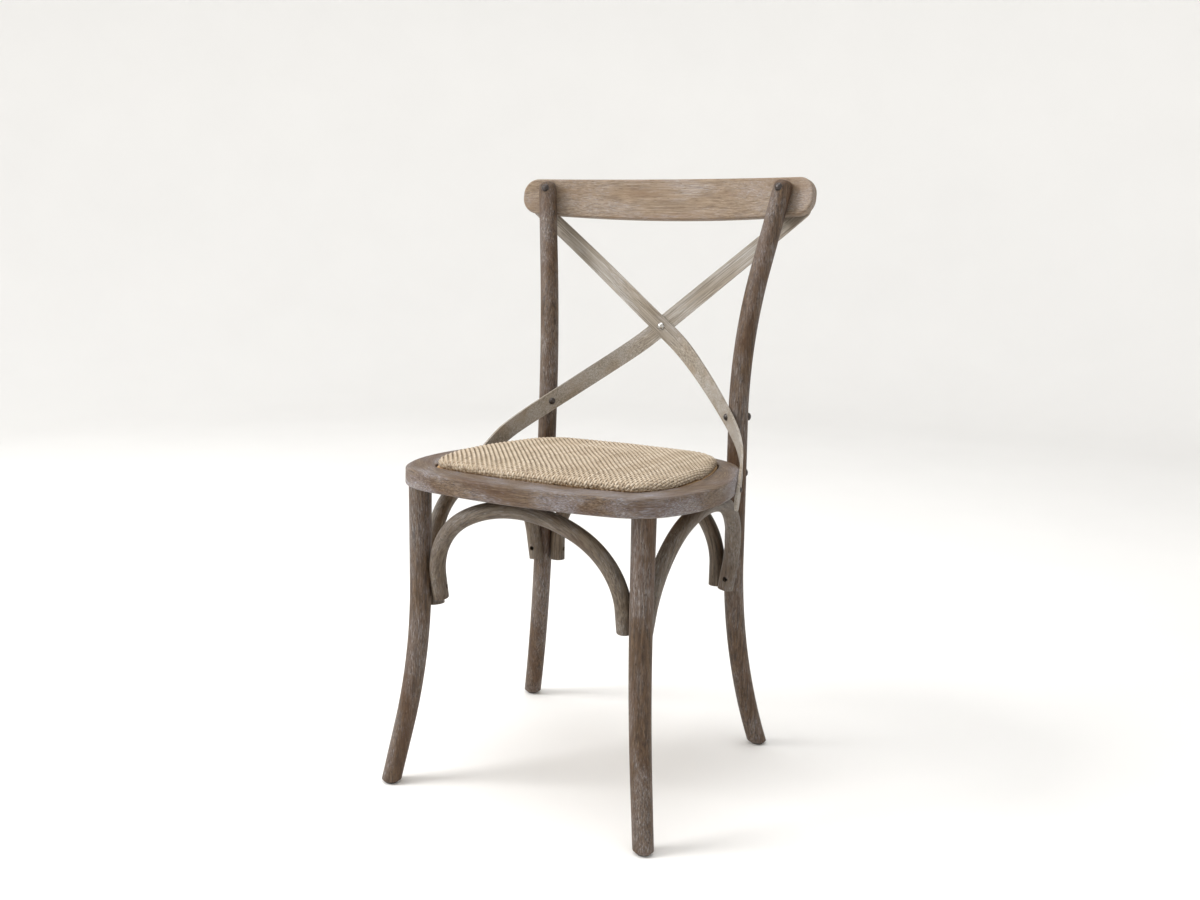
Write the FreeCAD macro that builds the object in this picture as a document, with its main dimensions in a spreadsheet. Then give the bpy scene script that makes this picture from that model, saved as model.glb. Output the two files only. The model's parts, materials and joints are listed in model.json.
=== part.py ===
"""Cross back dining chair, free standing, facing -Y with +Z up.

The origin lies on the floor under the middle of the chair. Left and right are as seen from
the front: left is the side of -X. All sizes are in millimetres and degrees.
"""
import FreeCAD
import Part
import Sketcher
import math
import os

from FreeCAD import Placement, Rotation, Vector

LEFT = -1
RIGHT = 1
SIDES = {LEFT: "left", RIGHT: "right"}
UP = Vector(0, 0, 1)
ALONG_X = Vector(1, 0, 0)
NO_TURN = Rotation()
NEAR_ZERO = 0.01
STRAP_SECTIONS = 49
CROSS_STATION = 4

# Driving sizes. The seat line is the chair's cross line from which the seat's own sizes are
# measured; it lies seat_line_forward in front of the origin.
SIZES = {
    "seat_line_forward": 38,
    "seat_height": 462,
    "seat_slope": 2.26,
    "rim_half_width": 227,
    "rim_front": 218,
    "rim_back": 232,
    "rim_widest_line": 45,
    "rim_thickness": 26.5,
    "rim_front_corner": 90,
    "rim_rear_corner": 120,
    "rim_arris": 4,
    "rebate_half_width": 186,
    "rebate_front": 171,
    "rebate_back": 182,
    "rebate_widest_line": 40,
    "rebate_front_corner": 40,
    "rebate_rear_corner": 60,
    "rebate_depth": 12,
    "rebate_arris": 1.5,
    "ledge_width": 15,
    "drop_in_clearance": 0.5,
    "board_thickness": 8,
    "weave_thickness": 2,
    "seat_crown": 18,
    "seat_edge_roll": 8,
    "front_leg_side_inset": 53,
    "front_leg_front_inset": 55,
    "front_leg_top_diameter": 33,
    "front_leg_foot_diameter": 28,
    "front_leg_bend_start": 300,
    "front_leg_bend_radius": 900,
    "front_leg_splay": 13.8,
    "front_leg_splay_heading": 52,
    "front_leg_tenon_diameter": 20,
    "front_leg_tenon_length": 16,
    "rear_leg_side_inset": 62,
    "rear_leg_back_inset": 42.5,
    "rear_leg_diameter": 29.6,
    "rear_leg_foot_diameter": 28,
    "rear_leg_top_diameter": 28.4,
    "rear_leg_heading": 50,
    "rear_leg_twist": 1.15,
    "rear_leg_twist_height": 430,
    "rear_leg_lower_bend_start": 305,
    "rear_leg_lower_bend_radius": 920,
    "rear_leg_upper_bend_start": 520,
    "rear_leg_upper_bend_radius": 845,
    "rear_leg_top_slope": 15.5,
    "rear_leg_top_height": 873,
    "rear_leg_top_round": 9,
    "rear_leg_socket_clearance": 0.2,
    "foot_chamfer": 3,
    "rail_half_length": 245,
    "rail_bow": 29,
    "rail_thickness": 19,
    "rail_end_height": 55,
    "rail_top_crown": 3,
    "rail_bottom_belly": 6,
    "rail_end_round": 25,
    "rail_arris": 3,
    "rail_height": 846,
    "rail_lean": 9,
    "rail_seat_depth": 1.5,
    "strap_width": 28,
    "strap_top_width": 25,
    "strap_thickness": 3.6,
    "strap_clearance": 0.3,
    "strap_post_gap": 0.75,
    "strap_head_gap": 0.4,
    "strap_end_round": 12.5,
    "strap_cross_height": 646,
    "strap_cross_back": 268,
    "strap_cross_flat": 30,
    "strap_cross_gap": 0.6,
    "strap_cross_rake": 39.5,
    "strap_top_side": 233,
    "strap_top_height": 836,
    "strap_top_run": 55,
    "strap_top_rake": 38.5,
    "strap_post_height": 523,
    "strap_post_turn": 48,
    "strap_screw_line": 67,
    "strap_screw_height": 439,
    "strap_screw_gap": 0.15,
    "strap_end_length": 27,
    "strap_rim_length": 39,
    "strap_rim_middle": 16,
    "strap_rake": 38,
    "strap_upper_belly": 1,
    "strap_lower_belly": 18,
    "strap_wrap_belly": 5,
    "arch_diameter": 23.6,
    "arch_clearance": 0.3,
    "arch_touch_height": 40,
    "front_arch_end_height": 279,
    "front_arch_rise": 123,
    "front_arch_shoulder": 0.93,
    "front_arch_inset": 11,
    "front_arch_lean": 12,
    "rear_arch_end_height": 258,
    "rear_arch_rise": 125,
    "rear_arch_shoulder": 0.93,
    "side_arch_end_height": 262,
    "side_arch_rise": 123.5,
    "side_arch_shoulder": 0.96,
    "side_arch_front_inset": 9,
    "side_arch_rear_inset": 2.5,
    "side_arch_lean": 8.6,
    "arch_screw_inset": 18,
    "arch_recess_depth": 8,
    "bolt_diameter": 6,
    "bolt_head_diameter": 12.5,
    "bolt_head_height": 4,
    "bolt_hole_clearance": 0.15,
    "spotface_depth": 0.8,
    "spotface_clearance": 0.3,
    "nut_diameter": 12,
    "nut_height": 6,
    "nut_wall": 1.5,
    "nut_end_play": 2,
    "washer_gap": 0.1,
    "rail_bolt_height": 862,
    "rail_washer_diameter": 15,
    "washer_thickness": 1.2,
    "strap_bolt_diameter": 5,
    "strap_bolt_head_diameter": 11,
    "strap_bolt_head_height": 3.6,
    "rivet_diameter": 5,
    "rivet_head_diameter": 12,
    "rivet_head_height": 3.4,
    "rivet_tail_height": 1.6,
    "rivet_tail_end_diameter": 5.6,
    "rivet_washer_diameter": 14,
    "small_screw_diameter": 4,
    "small_screw_length": 20,
    "small_screw_head_diameter": 8.5,
    "small_screw_head_height": 2.6,
    "rail_screw_inset": 15,
    "rail_screw_length": 16,
    "arch_screw_diameter": 4,
    "arch_screw_head_diameter": 7,
    "arch_screw_head_height": 2.4,
    "arch_screw_length": 28,
    "arch_seat_screw_length": 30,
    "board_screw_length": 19,
    "board_screw_side": 60,
    "board_screw_inset": 3,
    "hole_end_room": 0.3,
    "post_bolt_diameter": 8,
    "post_bolt_head_diameter": 15,
    "post_bolt_head_height": 4.5,
    "post_bolt_turn": 40,
    "post_bolt_height": 437,
    "insert_diameter": 12,
    "insert_length": 16,
    "insert_depth": 1.5,
    "weave_wrap": 25,
    "glide_diameter": 19,
    "glide_height": 2.5,
    "glide_nail_diameter": 3,
    "glide_nail_length": 16,
}

document = FreeCAD.newDocument("cross_back_chair")
sheet = document.addObject("Spreadsheet::Sheet", "Sizes")
for row, (name, value) in enumerate(SIZES.items(), start=1):
    sheet.set(f"A{row}", name)
    sheet.set(f"B{row}", str(value))
    sheet.setAlias(f"B{row}", name)
document.recompute()

nodes = {}


def size(name):
    """A driving size, read from the sheet."""
    return float(sheet.get(name))


def bind(thing, target, formula):
    """Ties a property to the sheet; names in the formula stand for its sizes."""
    for name in sorted(SIZES, key=len, reverse=True):
        formula = formula.replace(f"[{name}]", f"Sizes.{name}")
    thing.setExpression(target, formula)


def keep(thing, label):
    """Names the object that stands for a whole piece."""
    thing.Label = label
    nodes[label] = thing
    return thing


def mirror_x(point, side):
    return Vector(side * point.x, point.y, point.z)


def axis_place(point, direction):
    """The placement whose own Z axis starts at a point and runs along a direction."""
    return Placement(point, Rotation(UP, direction))


# Bodies and sketches

def new_body(label, place=None):
    body = document.addObject("PartDesign::Body", label)
    if place is not None:
        body.Placement = place
    return body


def origin_plane(body, role):
    for feature in body.Origin.OriginFeatures:
        if feature.Role == role:
            return feature
    raise ValueError(role)


def new_sketch(body, role, name, offset=None):
    sketch = body.newObject("Sketcher::SketchObject", name)
    sketch.AttachmentSupport = [(origin_plane(body, role), "")]
    sketch.MapMode = "FlatFace"
    if offset is not None:
        sketch.AttachmentOffset = offset
    return sketch


def add_circle(sketch, centre, radius_formula, radius):
    """A circle whose radius follows the sheet."""
    index = sketch.addGeometry(Part.Circle(centre, UP, radius), False)
    number = sketch.addConstraint(Sketcher.Constraint("Radius", index, radius))
    bind(sketch, f"Constraints[{number}]", radius_formula)


def add_edges(sketch, edges):
    for edge in edges:
        sketch.addGeometry(edge, False)


def add_polygon(sketch, points):
    for start, end in zip(points, points[1:] + points[:1]):
        sketch.addGeometry(Part.LineSegment(start, end), False)


def new_pad(body, sketch, formula, downwards=False):
    pad = body.newObject("PartDesign::Pad", "Pad")
    pad.Profile = sketch
    pad.Reversed = downwards
    bind(pad, "Length", formula)
    document.recompute()
    return pad


def new_pocket(body, sketch, formula=None, towards_normal=False):
    """A cut against the sketch's normal, through everything where no depth is given."""
    before = body.Shape.Volume
    pocket = body.newObject("PartDesign::Pocket", "Pocket")
    pocket.Profile = sketch
    pocket.Reversed = towards_normal
    if formula is None:
        pocket.Type = "ThroughAll"
    else:
        bind(pocket, "Length", formula)
    document.recompute()
    if not body.Shape.Volume < before:
        raise ValueError(f"{body.Label}: the pocket cuts nothing")
    return pocket


def new_fillet(body, formula, wanted):
    """Rounds the edges of the body's last feature for which wanted(edge) is true."""
    base = body.Tip
    names = [f"Edge{i}" for i, edge in enumerate(base.Shape.Edges, start=1) if wanted(edge)]
    if not names:
        raise ValueError(f"{body.Label}: no edge to round")
    fillet = body.newObject("PartDesign::Fillet", "Fillet")
    fillet.Base = (base, names)
    bind(fillet, "Radius", formula)
    document.recompute()
    return fillet


def cylinder(point, direction, radius_formula, length, label="Hole"):
    tool = document.addObject("Part::Cylinder", label)
    bind(tool, "Radius", radius_formula)
    tool.Height = length
    tool.Placement = axis_place(point, direction)
    return tool


def cut(base, tools, label="Cut"):
    """The base with its tools taken away."""
    tool = tools[0]
    if len(tools) > 1:
        tool = document.addObject("Part::MultiFuse", f"{label}_tools")
        tool.Shapes = tools
    result = document.addObject("Part::Cut", label)
    result.Base = base
    result.Tool = tool
    document.recompute()
    if not result.Shape.Volume < base.Shape.Volume:
        raise ValueError(f"{label}: the cut takes nothing away")
    return result


def fuse(things, label="Fusion"):
    result = document.addObject("Part::MultiFuse", label)
    result.Shapes = things
    document.recompute()
    return result


def copies(label, master, places):
    """Equal pieces in one node: a copy of the master's solid at each place."""
    solids = [master.Shape.transformed(place.Matrix, True) for place in places]
    group = document.addObject("Part::Feature", label)
    group.Shape = Part.makeCompound(solids)
    return keep(group, label)


def turned_body(label, edges):
    """A turned piece: a closed half outline in the XZ plane, turned about Z."""
    body = new_body(label)
    sketch = new_sketch(body, "XZ_Plane", f"{label}_outline")
    add_edges(sketch, edges)
    turning = body.newObject("PartDesign::Revolution", "Revolution")
    turning.Profile = sketch
    turning.ReferenceAxis = (sketch, ["V_Axis"])
    turning.Angle = 360
    document.recompute()
    return body


def flat(x, y):
    return Vector(x, y, 0)


def line(start, end):
    return Part.LineSegment(start, end)


def arc(start, middle, end):
    return Part.Arc(start, middle, end)


# Outlines of the seat

class SeatOutline:
    """A ring of twelve arcs: flat front, round corners, nearly straight sides, bowed back.

    Each quarter turns by 90 degrees in three arcs. The corner arc's radius and the two
    headings where it starts and ends are given, and the other two radii follow from them.
    """

    FRONT_HEADINGS = (12, 67.5)
    REAR_HEADINGS = (31, 66)
    REBATE_HEADINGS = (9, 72)

    def __init__(self, half_width, front, back, widest, front_corner, rear_corner,
                 rear_headings=REAR_HEADINGS):
        self.half_width = half_width
        self.front = front
        self.back = back
        self.widest = widest
        self.front_arcs = self.quarter(front - widest, front_corner, self.FRONT_HEADINGS)
        self.rear_arcs = self.quarter(back + widest, rear_corner, rear_headings)

    def quarter(self, reach, corner, headings):
        """(centre, radius, first heading, last heading) of each arc, from the middle outwards."""
        first, last = (math.radians(angle) for angle in headings)
        a, b = math.sin(first), 1 - math.sin(last)
        c, d = 1 - math.cos(first), math.cos(last)
        right = self.half_width - corner * (math.sin(last) - math.sin(first))
        up = reach - corner * (math.cos(first) - math.cos(last))
        middle_radius = (right * d - up * b) / (a * d - b * c)
        side_radius = (a * up - c * right) / (a * d - b * c)
        arcs = []
        start = (0.0, 0.0)
        turns = (0.0, first, last, math.pi / 2)
        for radius, begin, end in zip((middle_radius, corner, side_radius), turns, turns[1:]):
            centre = (start[0] - radius * math.sin(begin), start[1] + radius * math.cos(begin))
            arcs.append((centre, radius, begin, end))
            start = (centre[0] + radius * math.sin(end), centre[1] - radius * math.cos(end))
        return arcs

    def arc_point(self, piece, heading, across, lengthwise):
        (x, y), radius, _, _ = piece
        x += radius * math.sin(heading)
        y -= radius * math.cos(heading)
        start = self.front if lengthwise < 0 else self.back
        return flat(across * x, lengthwise * (start - y))

    def edges(self):
        """The whole outline as arcs, in order."""
        result = []
        for across, lengthwise in ((1, -1), (1, 1), (-1, 1), (-1, -1)):
            pieces = self.front_arcs if lengthwise < 0 else self.rear_arcs
            for piece in pieces:
                begin, end = piece[2], piece[3]
                points = [self.arc_point(piece, heading, across, lengthwise)
                          for heading in (begin, (begin + end) / 2, end)]
                result.append(arc(*points))
        return result

    def side(self, y):
        """The outline's half width at a place behind the widest line, and its outward normal."""
        reach = self.back - y
        for piece in self.rear_arcs:
            (centre_x, centre_y), radius, begin, end = piece
            heading = math.acos(max(-1, min(1, (centre_y - reach) / radius)))
            if begin <= heading <= end:
                x = centre_x + radius * math.sin(heading)
                return x, flat(math.sin(heading), math.cos(heading))
        raise ValueError("outside the outline")


def rim_outline():
    return SeatOutline(size("rim_half_width"), size("rim_front"), size("rim_back"),
                       size("rim_widest_line"), size("rim_front_corner"),
                       size("rim_rear_corner"))


def rebate_outline(inset=0.0):
    """The drop-in seat's recess, or a line that runs inside it by the inset."""
    return SeatOutline(size("rebate_half_width") - inset, size("rebate_front") - inset,
                       size("rebate_back") - inset, size("rebate_widest_line"),
                       size("rebate_front_corner") - inset,
                       size("rebate_rear_corner") - inset, SeatOutline.REBATE_HEADINGS)


# Places on the chair

SEAT_LINE = Vector(0, -size("seat_line_forward"), 0)
SEAT = Placement(SEAT_LINE + Vector(0, 0, size("seat_height")),
                 Rotation(ALONG_X, -size("seat_slope")))
SEAT_NORMAL = SEAT.Rotation.multVec(UP)


def rim_underside(point):
    """Height of the rim's underside above or below a point."""
    under = SEAT.multVec(Vector(0, 0, -size("rim_thickness")))
    slope = math.tan(math.radians(size("seat_slope")))
    return under.z - slope * (point.y - under.y)


def front_leg_place(side):
    heading = size("front_leg_splay_heading")
    foot = SEAT_LINE + Vector(side * (size("rim_half_width") - size("front_leg_side_inset")),
                              size("front_leg_front_inset") - size("rim_front"), 0)
    turn = -heading if side == RIGHT else heading - 180
    return Placement(foot, Rotation(UP, turn))


def front_leg_radius(height):
    """The taper is even from the rim to the floor."""
    top, foot = size("front_leg_top_diameter") / 2, size("front_leg_foot_diameter") / 2
    return foot + (top - foot) * height / size("seat_height")


def rear_leg_place(side):
    """The bend plane of a rear leg: its own X is the way the leg bends."""
    pivot = SEAT_LINE + Vector(side * (size("rim_half_width") - size("rear_leg_side_inset")),
                               size("rim_back") - size("rear_leg_back_inset"),
                               size("rear_leg_twist_height"))
    heading = size("rear_leg_heading") if side == RIGHT else 180 - size("rear_leg_heading")
    turn = Rotation(UP, heading).multiply(Rotation(ALONG_X, -side * size("rear_leg_twist")))
    drop = Placement(Vector(0, 0, -size("rear_leg_twist_height")), NO_TURN)
    return Placement(pivot, turn).multiply(drop)


def rear_leg_offset(along):
    """How far the bent stick stands off its straight middle, at a length along that middle."""
    start, radius = size("rear_leg_lower_bend_start"), size("rear_leg_lower_bend_radius")
    if along < start:
        return radius - math.sqrt(radius ** 2 - (start - along) ** 2)
    start, radius = size("rear_leg_upper_bend_start"), size("rear_leg_upper_bend_radius")
    slope = math.radians(size("rear_leg_top_slope"))
    end = start + radius * math.sin(slope)
    if along <= start:
        return 0.0
    if along < end:
        return radius - math.sqrt(radius ** 2 - (along - start) ** 2)
    return radius * (1 - math.cos(slope)) + (along - end) * math.tan(slope)


def rear_leg_centre(side, height):
    """Centre of a rear leg at a height above the floor."""
    pivot = size("rear_leg_twist_height")
    along = pivot + (height - pivot) / math.cos(math.radians(size("rear_leg_twist")))
    return rear_leg_place(side).multVec(Vector(rear_leg_offset(along), 0, along))


# Rear and front legs

CUT_LENGTH = 60
FLOOR_MARGIN = 30


def bent_stick(label, place, path_edges, sections):
    """A round stick along a path in its own XZ plane, through circles across that path.

    Each section is (point on the path, slope there, radius formula, radius).
    """
    body = new_body(label, place)
    path = new_sketch(body, "XZ_Plane", f"{label}_path")
    add_edges(path, path_edges)
    circles = []
    for number, (point, slope, formula, radius) in enumerate(sections, start=1):
        offset = Placement(Vector(point.x, 0, point.y), Rotation(Vector(0, 1, 0), slope))
        circle = new_sketch(body, "XY_Plane", f"{label}_section_{number}", offset)
        add_circle(circle, flat(0, 0), formula, radius)
        circles.append(circle)
    pipe = body.newObject("PartDesign::AdditivePipe", "Stick")
    pipe.Profile = circles[0]
    pipe.Spine = (path, [])
    if len(circles) > 1:
        pipe.Transformation = "Multisection"
        pipe.Sections = circles[1:]
    document.recompute()
    return body


def foot_cut(body, place):
    """Cuts a stick level above its glide and breaks the foot's edge."""
    level = place.inverse().multiply(Placement(Vector(0, 0, size("glide_height")), NO_TURN))
    normal = level.Rotation.multVec(UP)
    offset = Placement(level.multVec(Vector(0, 0, 0)), Rotation(UP, normal))
    sketch = new_sketch(body, "XY_Plane", "foot_cut", offset)
    reach = 400
    add_polygon(sketch, [flat(-reach, -reach), flat(reach, -reach), flat(reach, reach),
                         flat(-reach, reach)])
    new_pocket(body, sketch, None)
    base = body.Tip
    lowest = min(base.Shape.Edges, key=lambda edge: body.Placement.multVec(edge.CenterOfMass).z)
    number = [edge.isSame(lowest) for edge in base.Shape.Edges].index(True) + 1
    chamfer = body.newObject("PartDesign::Chamfer", "FootChamfer")
    chamfer.Base = (base, [f"Edge{number}"])
    bind(chamfer, "Size", "[foot_chamfer]")
    document.recompute()


def make_rear_leg(side):
    name = f"rear_leg_{SIDES[side]}"
    place = rear_leg_place(side)
    lower, lower_radius = size("rear_leg_lower_bend_start"), size("rear_leg_lower_bend_radius")
    upper, upper_radius = size("rear_leg_upper_bend_start"), size("rear_leg_upper_bend_radius")
    slope = math.radians(size("rear_leg_top_slope"))
    bend_end = upper + upper_radius * math.sin(slope)
    top = size("rear_leg_top_height")

    def at(along):
        return flat(rear_leg_offset(along), along)

    foot = -FLOOR_MARGIN
    foot_slope = -math.degrees(math.asin((lower - foot) / lower_radius))
    path = [arc(at(foot), at((foot + lower) / 2), at(lower)),
            line(at(lower), at(upper)),
            arc(at(upper), at((upper + bend_end) / 2), at(bend_end)),
            line(at(bend_end), at(top))]
    sections = [(at(foot), foot_slope, "[rear_leg_foot_diameter] / 2",
                 size("rear_leg_foot_diameter") / 2),
                (at(lower), 0, "[rear_leg_diameter] / 2", size("rear_leg_diameter") / 2),
                (at(upper), 0, "[rear_leg_diameter] / 2", size("rear_leg_diameter") / 2),
                (at(top), size("rear_leg_top_slope"), "[rear_leg_top_diameter] / 2",
                 size("rear_leg_top_diameter") / 2)]
    body = bent_stick(f"{name}_stick", place, path, sections)
    highest = max(body.Tip.Shape.Edges, key=lambda edge: edge.CenterOfMass.z)
    new_fillet(body, "[rear_leg_top_round]", lambda edge: edge.isSame(highest))
    foot_cut(body, place)
    return body


def make_front_leg(side):
    name = f"front_leg_{SIDES[side]}"
    start, radius = size("front_leg_bend_start"), size("front_leg_bend_radius")
    splay = math.radians(size("front_leg_splay"))
    top = size("seat_height")

    def bend(angle):
        return flat(radius * (1 - math.cos(angle)), start - radius * math.sin(angle))

    bend_end = bend(splay)
    foot = flat(bend_end.x + (bend_end.y + FLOOR_MARGIN) * math.tan(splay), -FLOOR_MARGIN)
    path = [line(flat(0, top), flat(0, start)),
            arc(flat(0, start), bend(splay / 2), bend_end),
            line(bend_end, foot)]
    sections = [(flat(0, top), 0, "[front_leg_top_diameter] / 2",
                 size("front_leg_top_diameter") / 2),
                (foot, -size("front_leg_splay"), "[front_leg_foot_diameter] / 2",
                 size("front_leg_foot_diameter") / 2)]
    body = bent_stick(f"{name}_stick", front_leg_place(side), path, sections)
    foot_cut(body, front_leg_place(side))
    return body


def front_leg_foot(side):
    """Centre of a front leg's foot, level with the glide's top."""
    splay = math.radians(size("front_leg_splay"))
    radius = size("front_leg_bend_radius")
    straight = size("front_leg_bend_start") - radius * math.sin(splay) - size("glide_height")
    across = radius * (1 - math.cos(splay)) + straight * math.tan(splay)
    return front_leg_place(side).multVec(Vector(across, 0, size("glide_height")))


def seat_slab():
    """The room that the rim fills, wider than any leg, used to cut the leg tops level with it."""
    slab = document.addObject("Part::Box", "seat_slab")
    reach = 2 * size("rim_half_width")
    slab.Length = 2 * reach
    slab.Width = 2 * reach
    slab.Height = 2 * size("rim_thickness") + CUT_LENGTH
    slab.Placement = SEAT.multiply(Placement(Vector(-reach, -reach, -size("rim_thickness")),
                                             NO_TURN))
    return slab


# Seat rim, drop-in seat

def tenon_foot(side):
    """Where the front leg's axis meets the rim's underside."""
    top = front_leg_place(side).Base
    return Vector(top.x, top.y, rim_underside(top))


def make_rim_blank():
    body = new_body("seat_rim_blank", SEAT)
    outline = new_sketch(body, "XY_Plane", "rim_outline")
    add_edges(outline, rim_outline().edges())
    new_pad(body, outline, "[rim_thickness]", downwards=True)
    new_fillet(body, "[rim_arris]", lambda edge: edge.BoundBox.ZLength < NEAR_ZERO)
    recess = new_sketch(body, "XY_Plane", "rebate_outline")
    add_edges(recess, rebate_outline().edges())
    new_pocket(body, recess, "[rebate_depth]")
    opening = new_sketch(body, "XY_Plane", "opening_outline")
    add_edges(opening, rebate_outline(size("ledge_width")).edges())
    new_pocket(body, opening)
    new_fillet(body, "[rebate_arris]", in_rebate)
    return body


def in_rebate(edge):
    """True for an edge of the recess in the rim's top plane."""
    reach = edge.BoundBox
    margin = size("rebate_arris")
    return (abs(reach.ZMin) < NEAR_ZERO and abs(reach.ZMax) < NEAR_ZERO
            and abs(reach.XMin) < size("rebate_half_width") + margin
            and abs(reach.XMax) < size("rebate_half_width") + margin
            and reach.YMin > -size("rebate_front") - margin
            and reach.YMax < size("rebate_back") + margin)


def make_board():
    inset = size("drop_in_clearance") + size("weave_thickness")
    body = new_body("seat_board", SEAT)
    level = Placement(Vector(0, 0, -size("rebate_depth") + size("weave_thickness")), NO_TURN)
    outline = new_sketch(body, "XY_Plane", "board_outline", level)
    add_edges(outline, rebate_outline(inset).edges())
    new_pad(body, outline, "[board_thickness]")
    return body


def dome_levels(inset, crown):
    """(share of the outline, height) of each level of the domed seat, an even crown."""
    levels = [(1.0, 0.0), (0.985, 0.3), (0.94, 0.5), (0.84, 0.7), (0.66, 0.87), (0.42, 0.965),
              (0.16, 1.0)]
    outline = rebate_outline(inset)
    return [(outline, share, crown * height) for share, height in levels]


def dome_sketches(body, inset, base, crown, label):
    """Outlines that shrink towards the crown, each at its height above the seat plane."""
    sketches = []
    for number, (outline, share, height) in enumerate(dome_levels(inset, crown), start=1):
        level = Placement(Vector(0, 0, base + height), NO_TURN)
        sketch = new_sketch(body, "XY_Plane", f"{label}_{number}", level)
        smaller = SeatOutline(outline.half_width * share, outline.front * share,
                              outline.back * share, outline.widest * share,
                              (size("rebate_front_corner") - inset) * share,
                              (size("rebate_rear_corner") - inset) * share,
                              SeatOutline.REBATE_HEADINGS)
        add_edges(sketch, smaller.edges())
        sketches.append(sketch)
    return sketches


def board_top():
    return -size("rebate_depth") + size("weave_thickness") + size("board_thickness")


def make_pad():
    """The filling: straight sides up to the edge roll, then the crown."""
    inset = size("drop_in_clearance") + size("weave_thickness")
    body = new_body("seat_pad", SEAT)
    sketch = new_sketch(body, "XY_Plane", "pad_outline",
                        Placement(Vector(0, 0, board_top()), NO_TURN))
    add_edges(sketch, rebate_outline(inset).edges())
    new_pad(body, sketch, "[seat_edge_roll]")
    levels = dome_sketches(body, inset, board_top() + size("seat_edge_roll"),
                           size("seat_crown") - size("seat_edge_roll"), "pad_level")
    crown = body.newObject("PartDesign::AdditiveLoft", "Crown")
    crown.Profile = levels[0]
    crown.Sections = levels[1:]
    document.recompute()
    return body


def make_weave():
    """The woven skin: over the crown, down the sides and under the board's edge."""
    inset = size("drop_in_clearance")
    body = new_body("seat_weave", SEAT)
    bottom = -size("rebate_depth")
    shoulder = board_top() + size("seat_edge_roll")
    sketch = new_sketch(body, "XY_Plane", "weave_outline",
                        Placement(Vector(0, 0, bottom), NO_TURN))
    add_edges(sketch, rebate_outline(inset).edges())
    skirt = body.newObject("PartDesign::Pad", "Skirt")
    skirt.Profile = sketch
    bind(skirt, "Length", "[seat_edge_roll] + [board_thickness] + [weave_thickness]")
    document.recompute()
    levels = dome_sketches(body, inset, shoulder,
                           size("seat_crown") - size("seat_edge_roll")
                           + size("weave_thickness"), "weave_level")
    crown = body.newObject("PartDesign::AdditiveLoft", "Crown")
    crown.Profile = levels[0]
    crown.Sections = levels[1:]
    document.recompute()
    window = new_sketch(body, "XY_Plane", "weave_window",
                        Placement(Vector(0, 0, bottom), NO_TURN))
    add_edges(window, rebate_outline(size("weave_wrap")).edges())
    new_pocket(body, window, "[weave_thickness]", towards_normal=True)
    filling = fuse([nodes["seat_board"], nodes["seat_pad"]], "seat_filling")
    return cut(body, [filling], "seat_weave_skin")


# Arches

def basket_arch(half_span, rise, shoulder, end_drop):
    """Half-round hoop path: straight ends, tight shoulders, flatter crown, in (x, z)."""
    crown = ((half_span ** 2 - 2 * half_span * shoulder + rise ** 2)
             / (2 * (rise - shoulder)))
    turn = math.atan2(crown - rise, half_span - shoulder)
    centre = flat(half_span - shoulder, 0)

    def on_shoulder(side, angle):
        return flat(side * (centre.x + shoulder * math.cos(angle)),
                    shoulder * math.sin(angle))

    top = flat(0, rise)
    ends = {side: flat(side * half_span, 0) for side in (LEFT, RIGHT)}
    feet = {side: flat(side * half_span, -end_drop) for side in (LEFT, RIGHT)}
    return [line(feet[LEFT], ends[LEFT]),
            arc(ends[LEFT], on_shoulder(LEFT, turn / 2), on_shoulder(LEFT, turn)),
            arc(on_shoulder(LEFT, turn), top, on_shoulder(RIGHT, turn)),
            arc(on_shoulder(RIGHT, turn), on_shoulder(RIGHT, turn / 2), ends[RIGHT]),
            line(ends[RIGHT], feet[RIGHT])]


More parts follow.
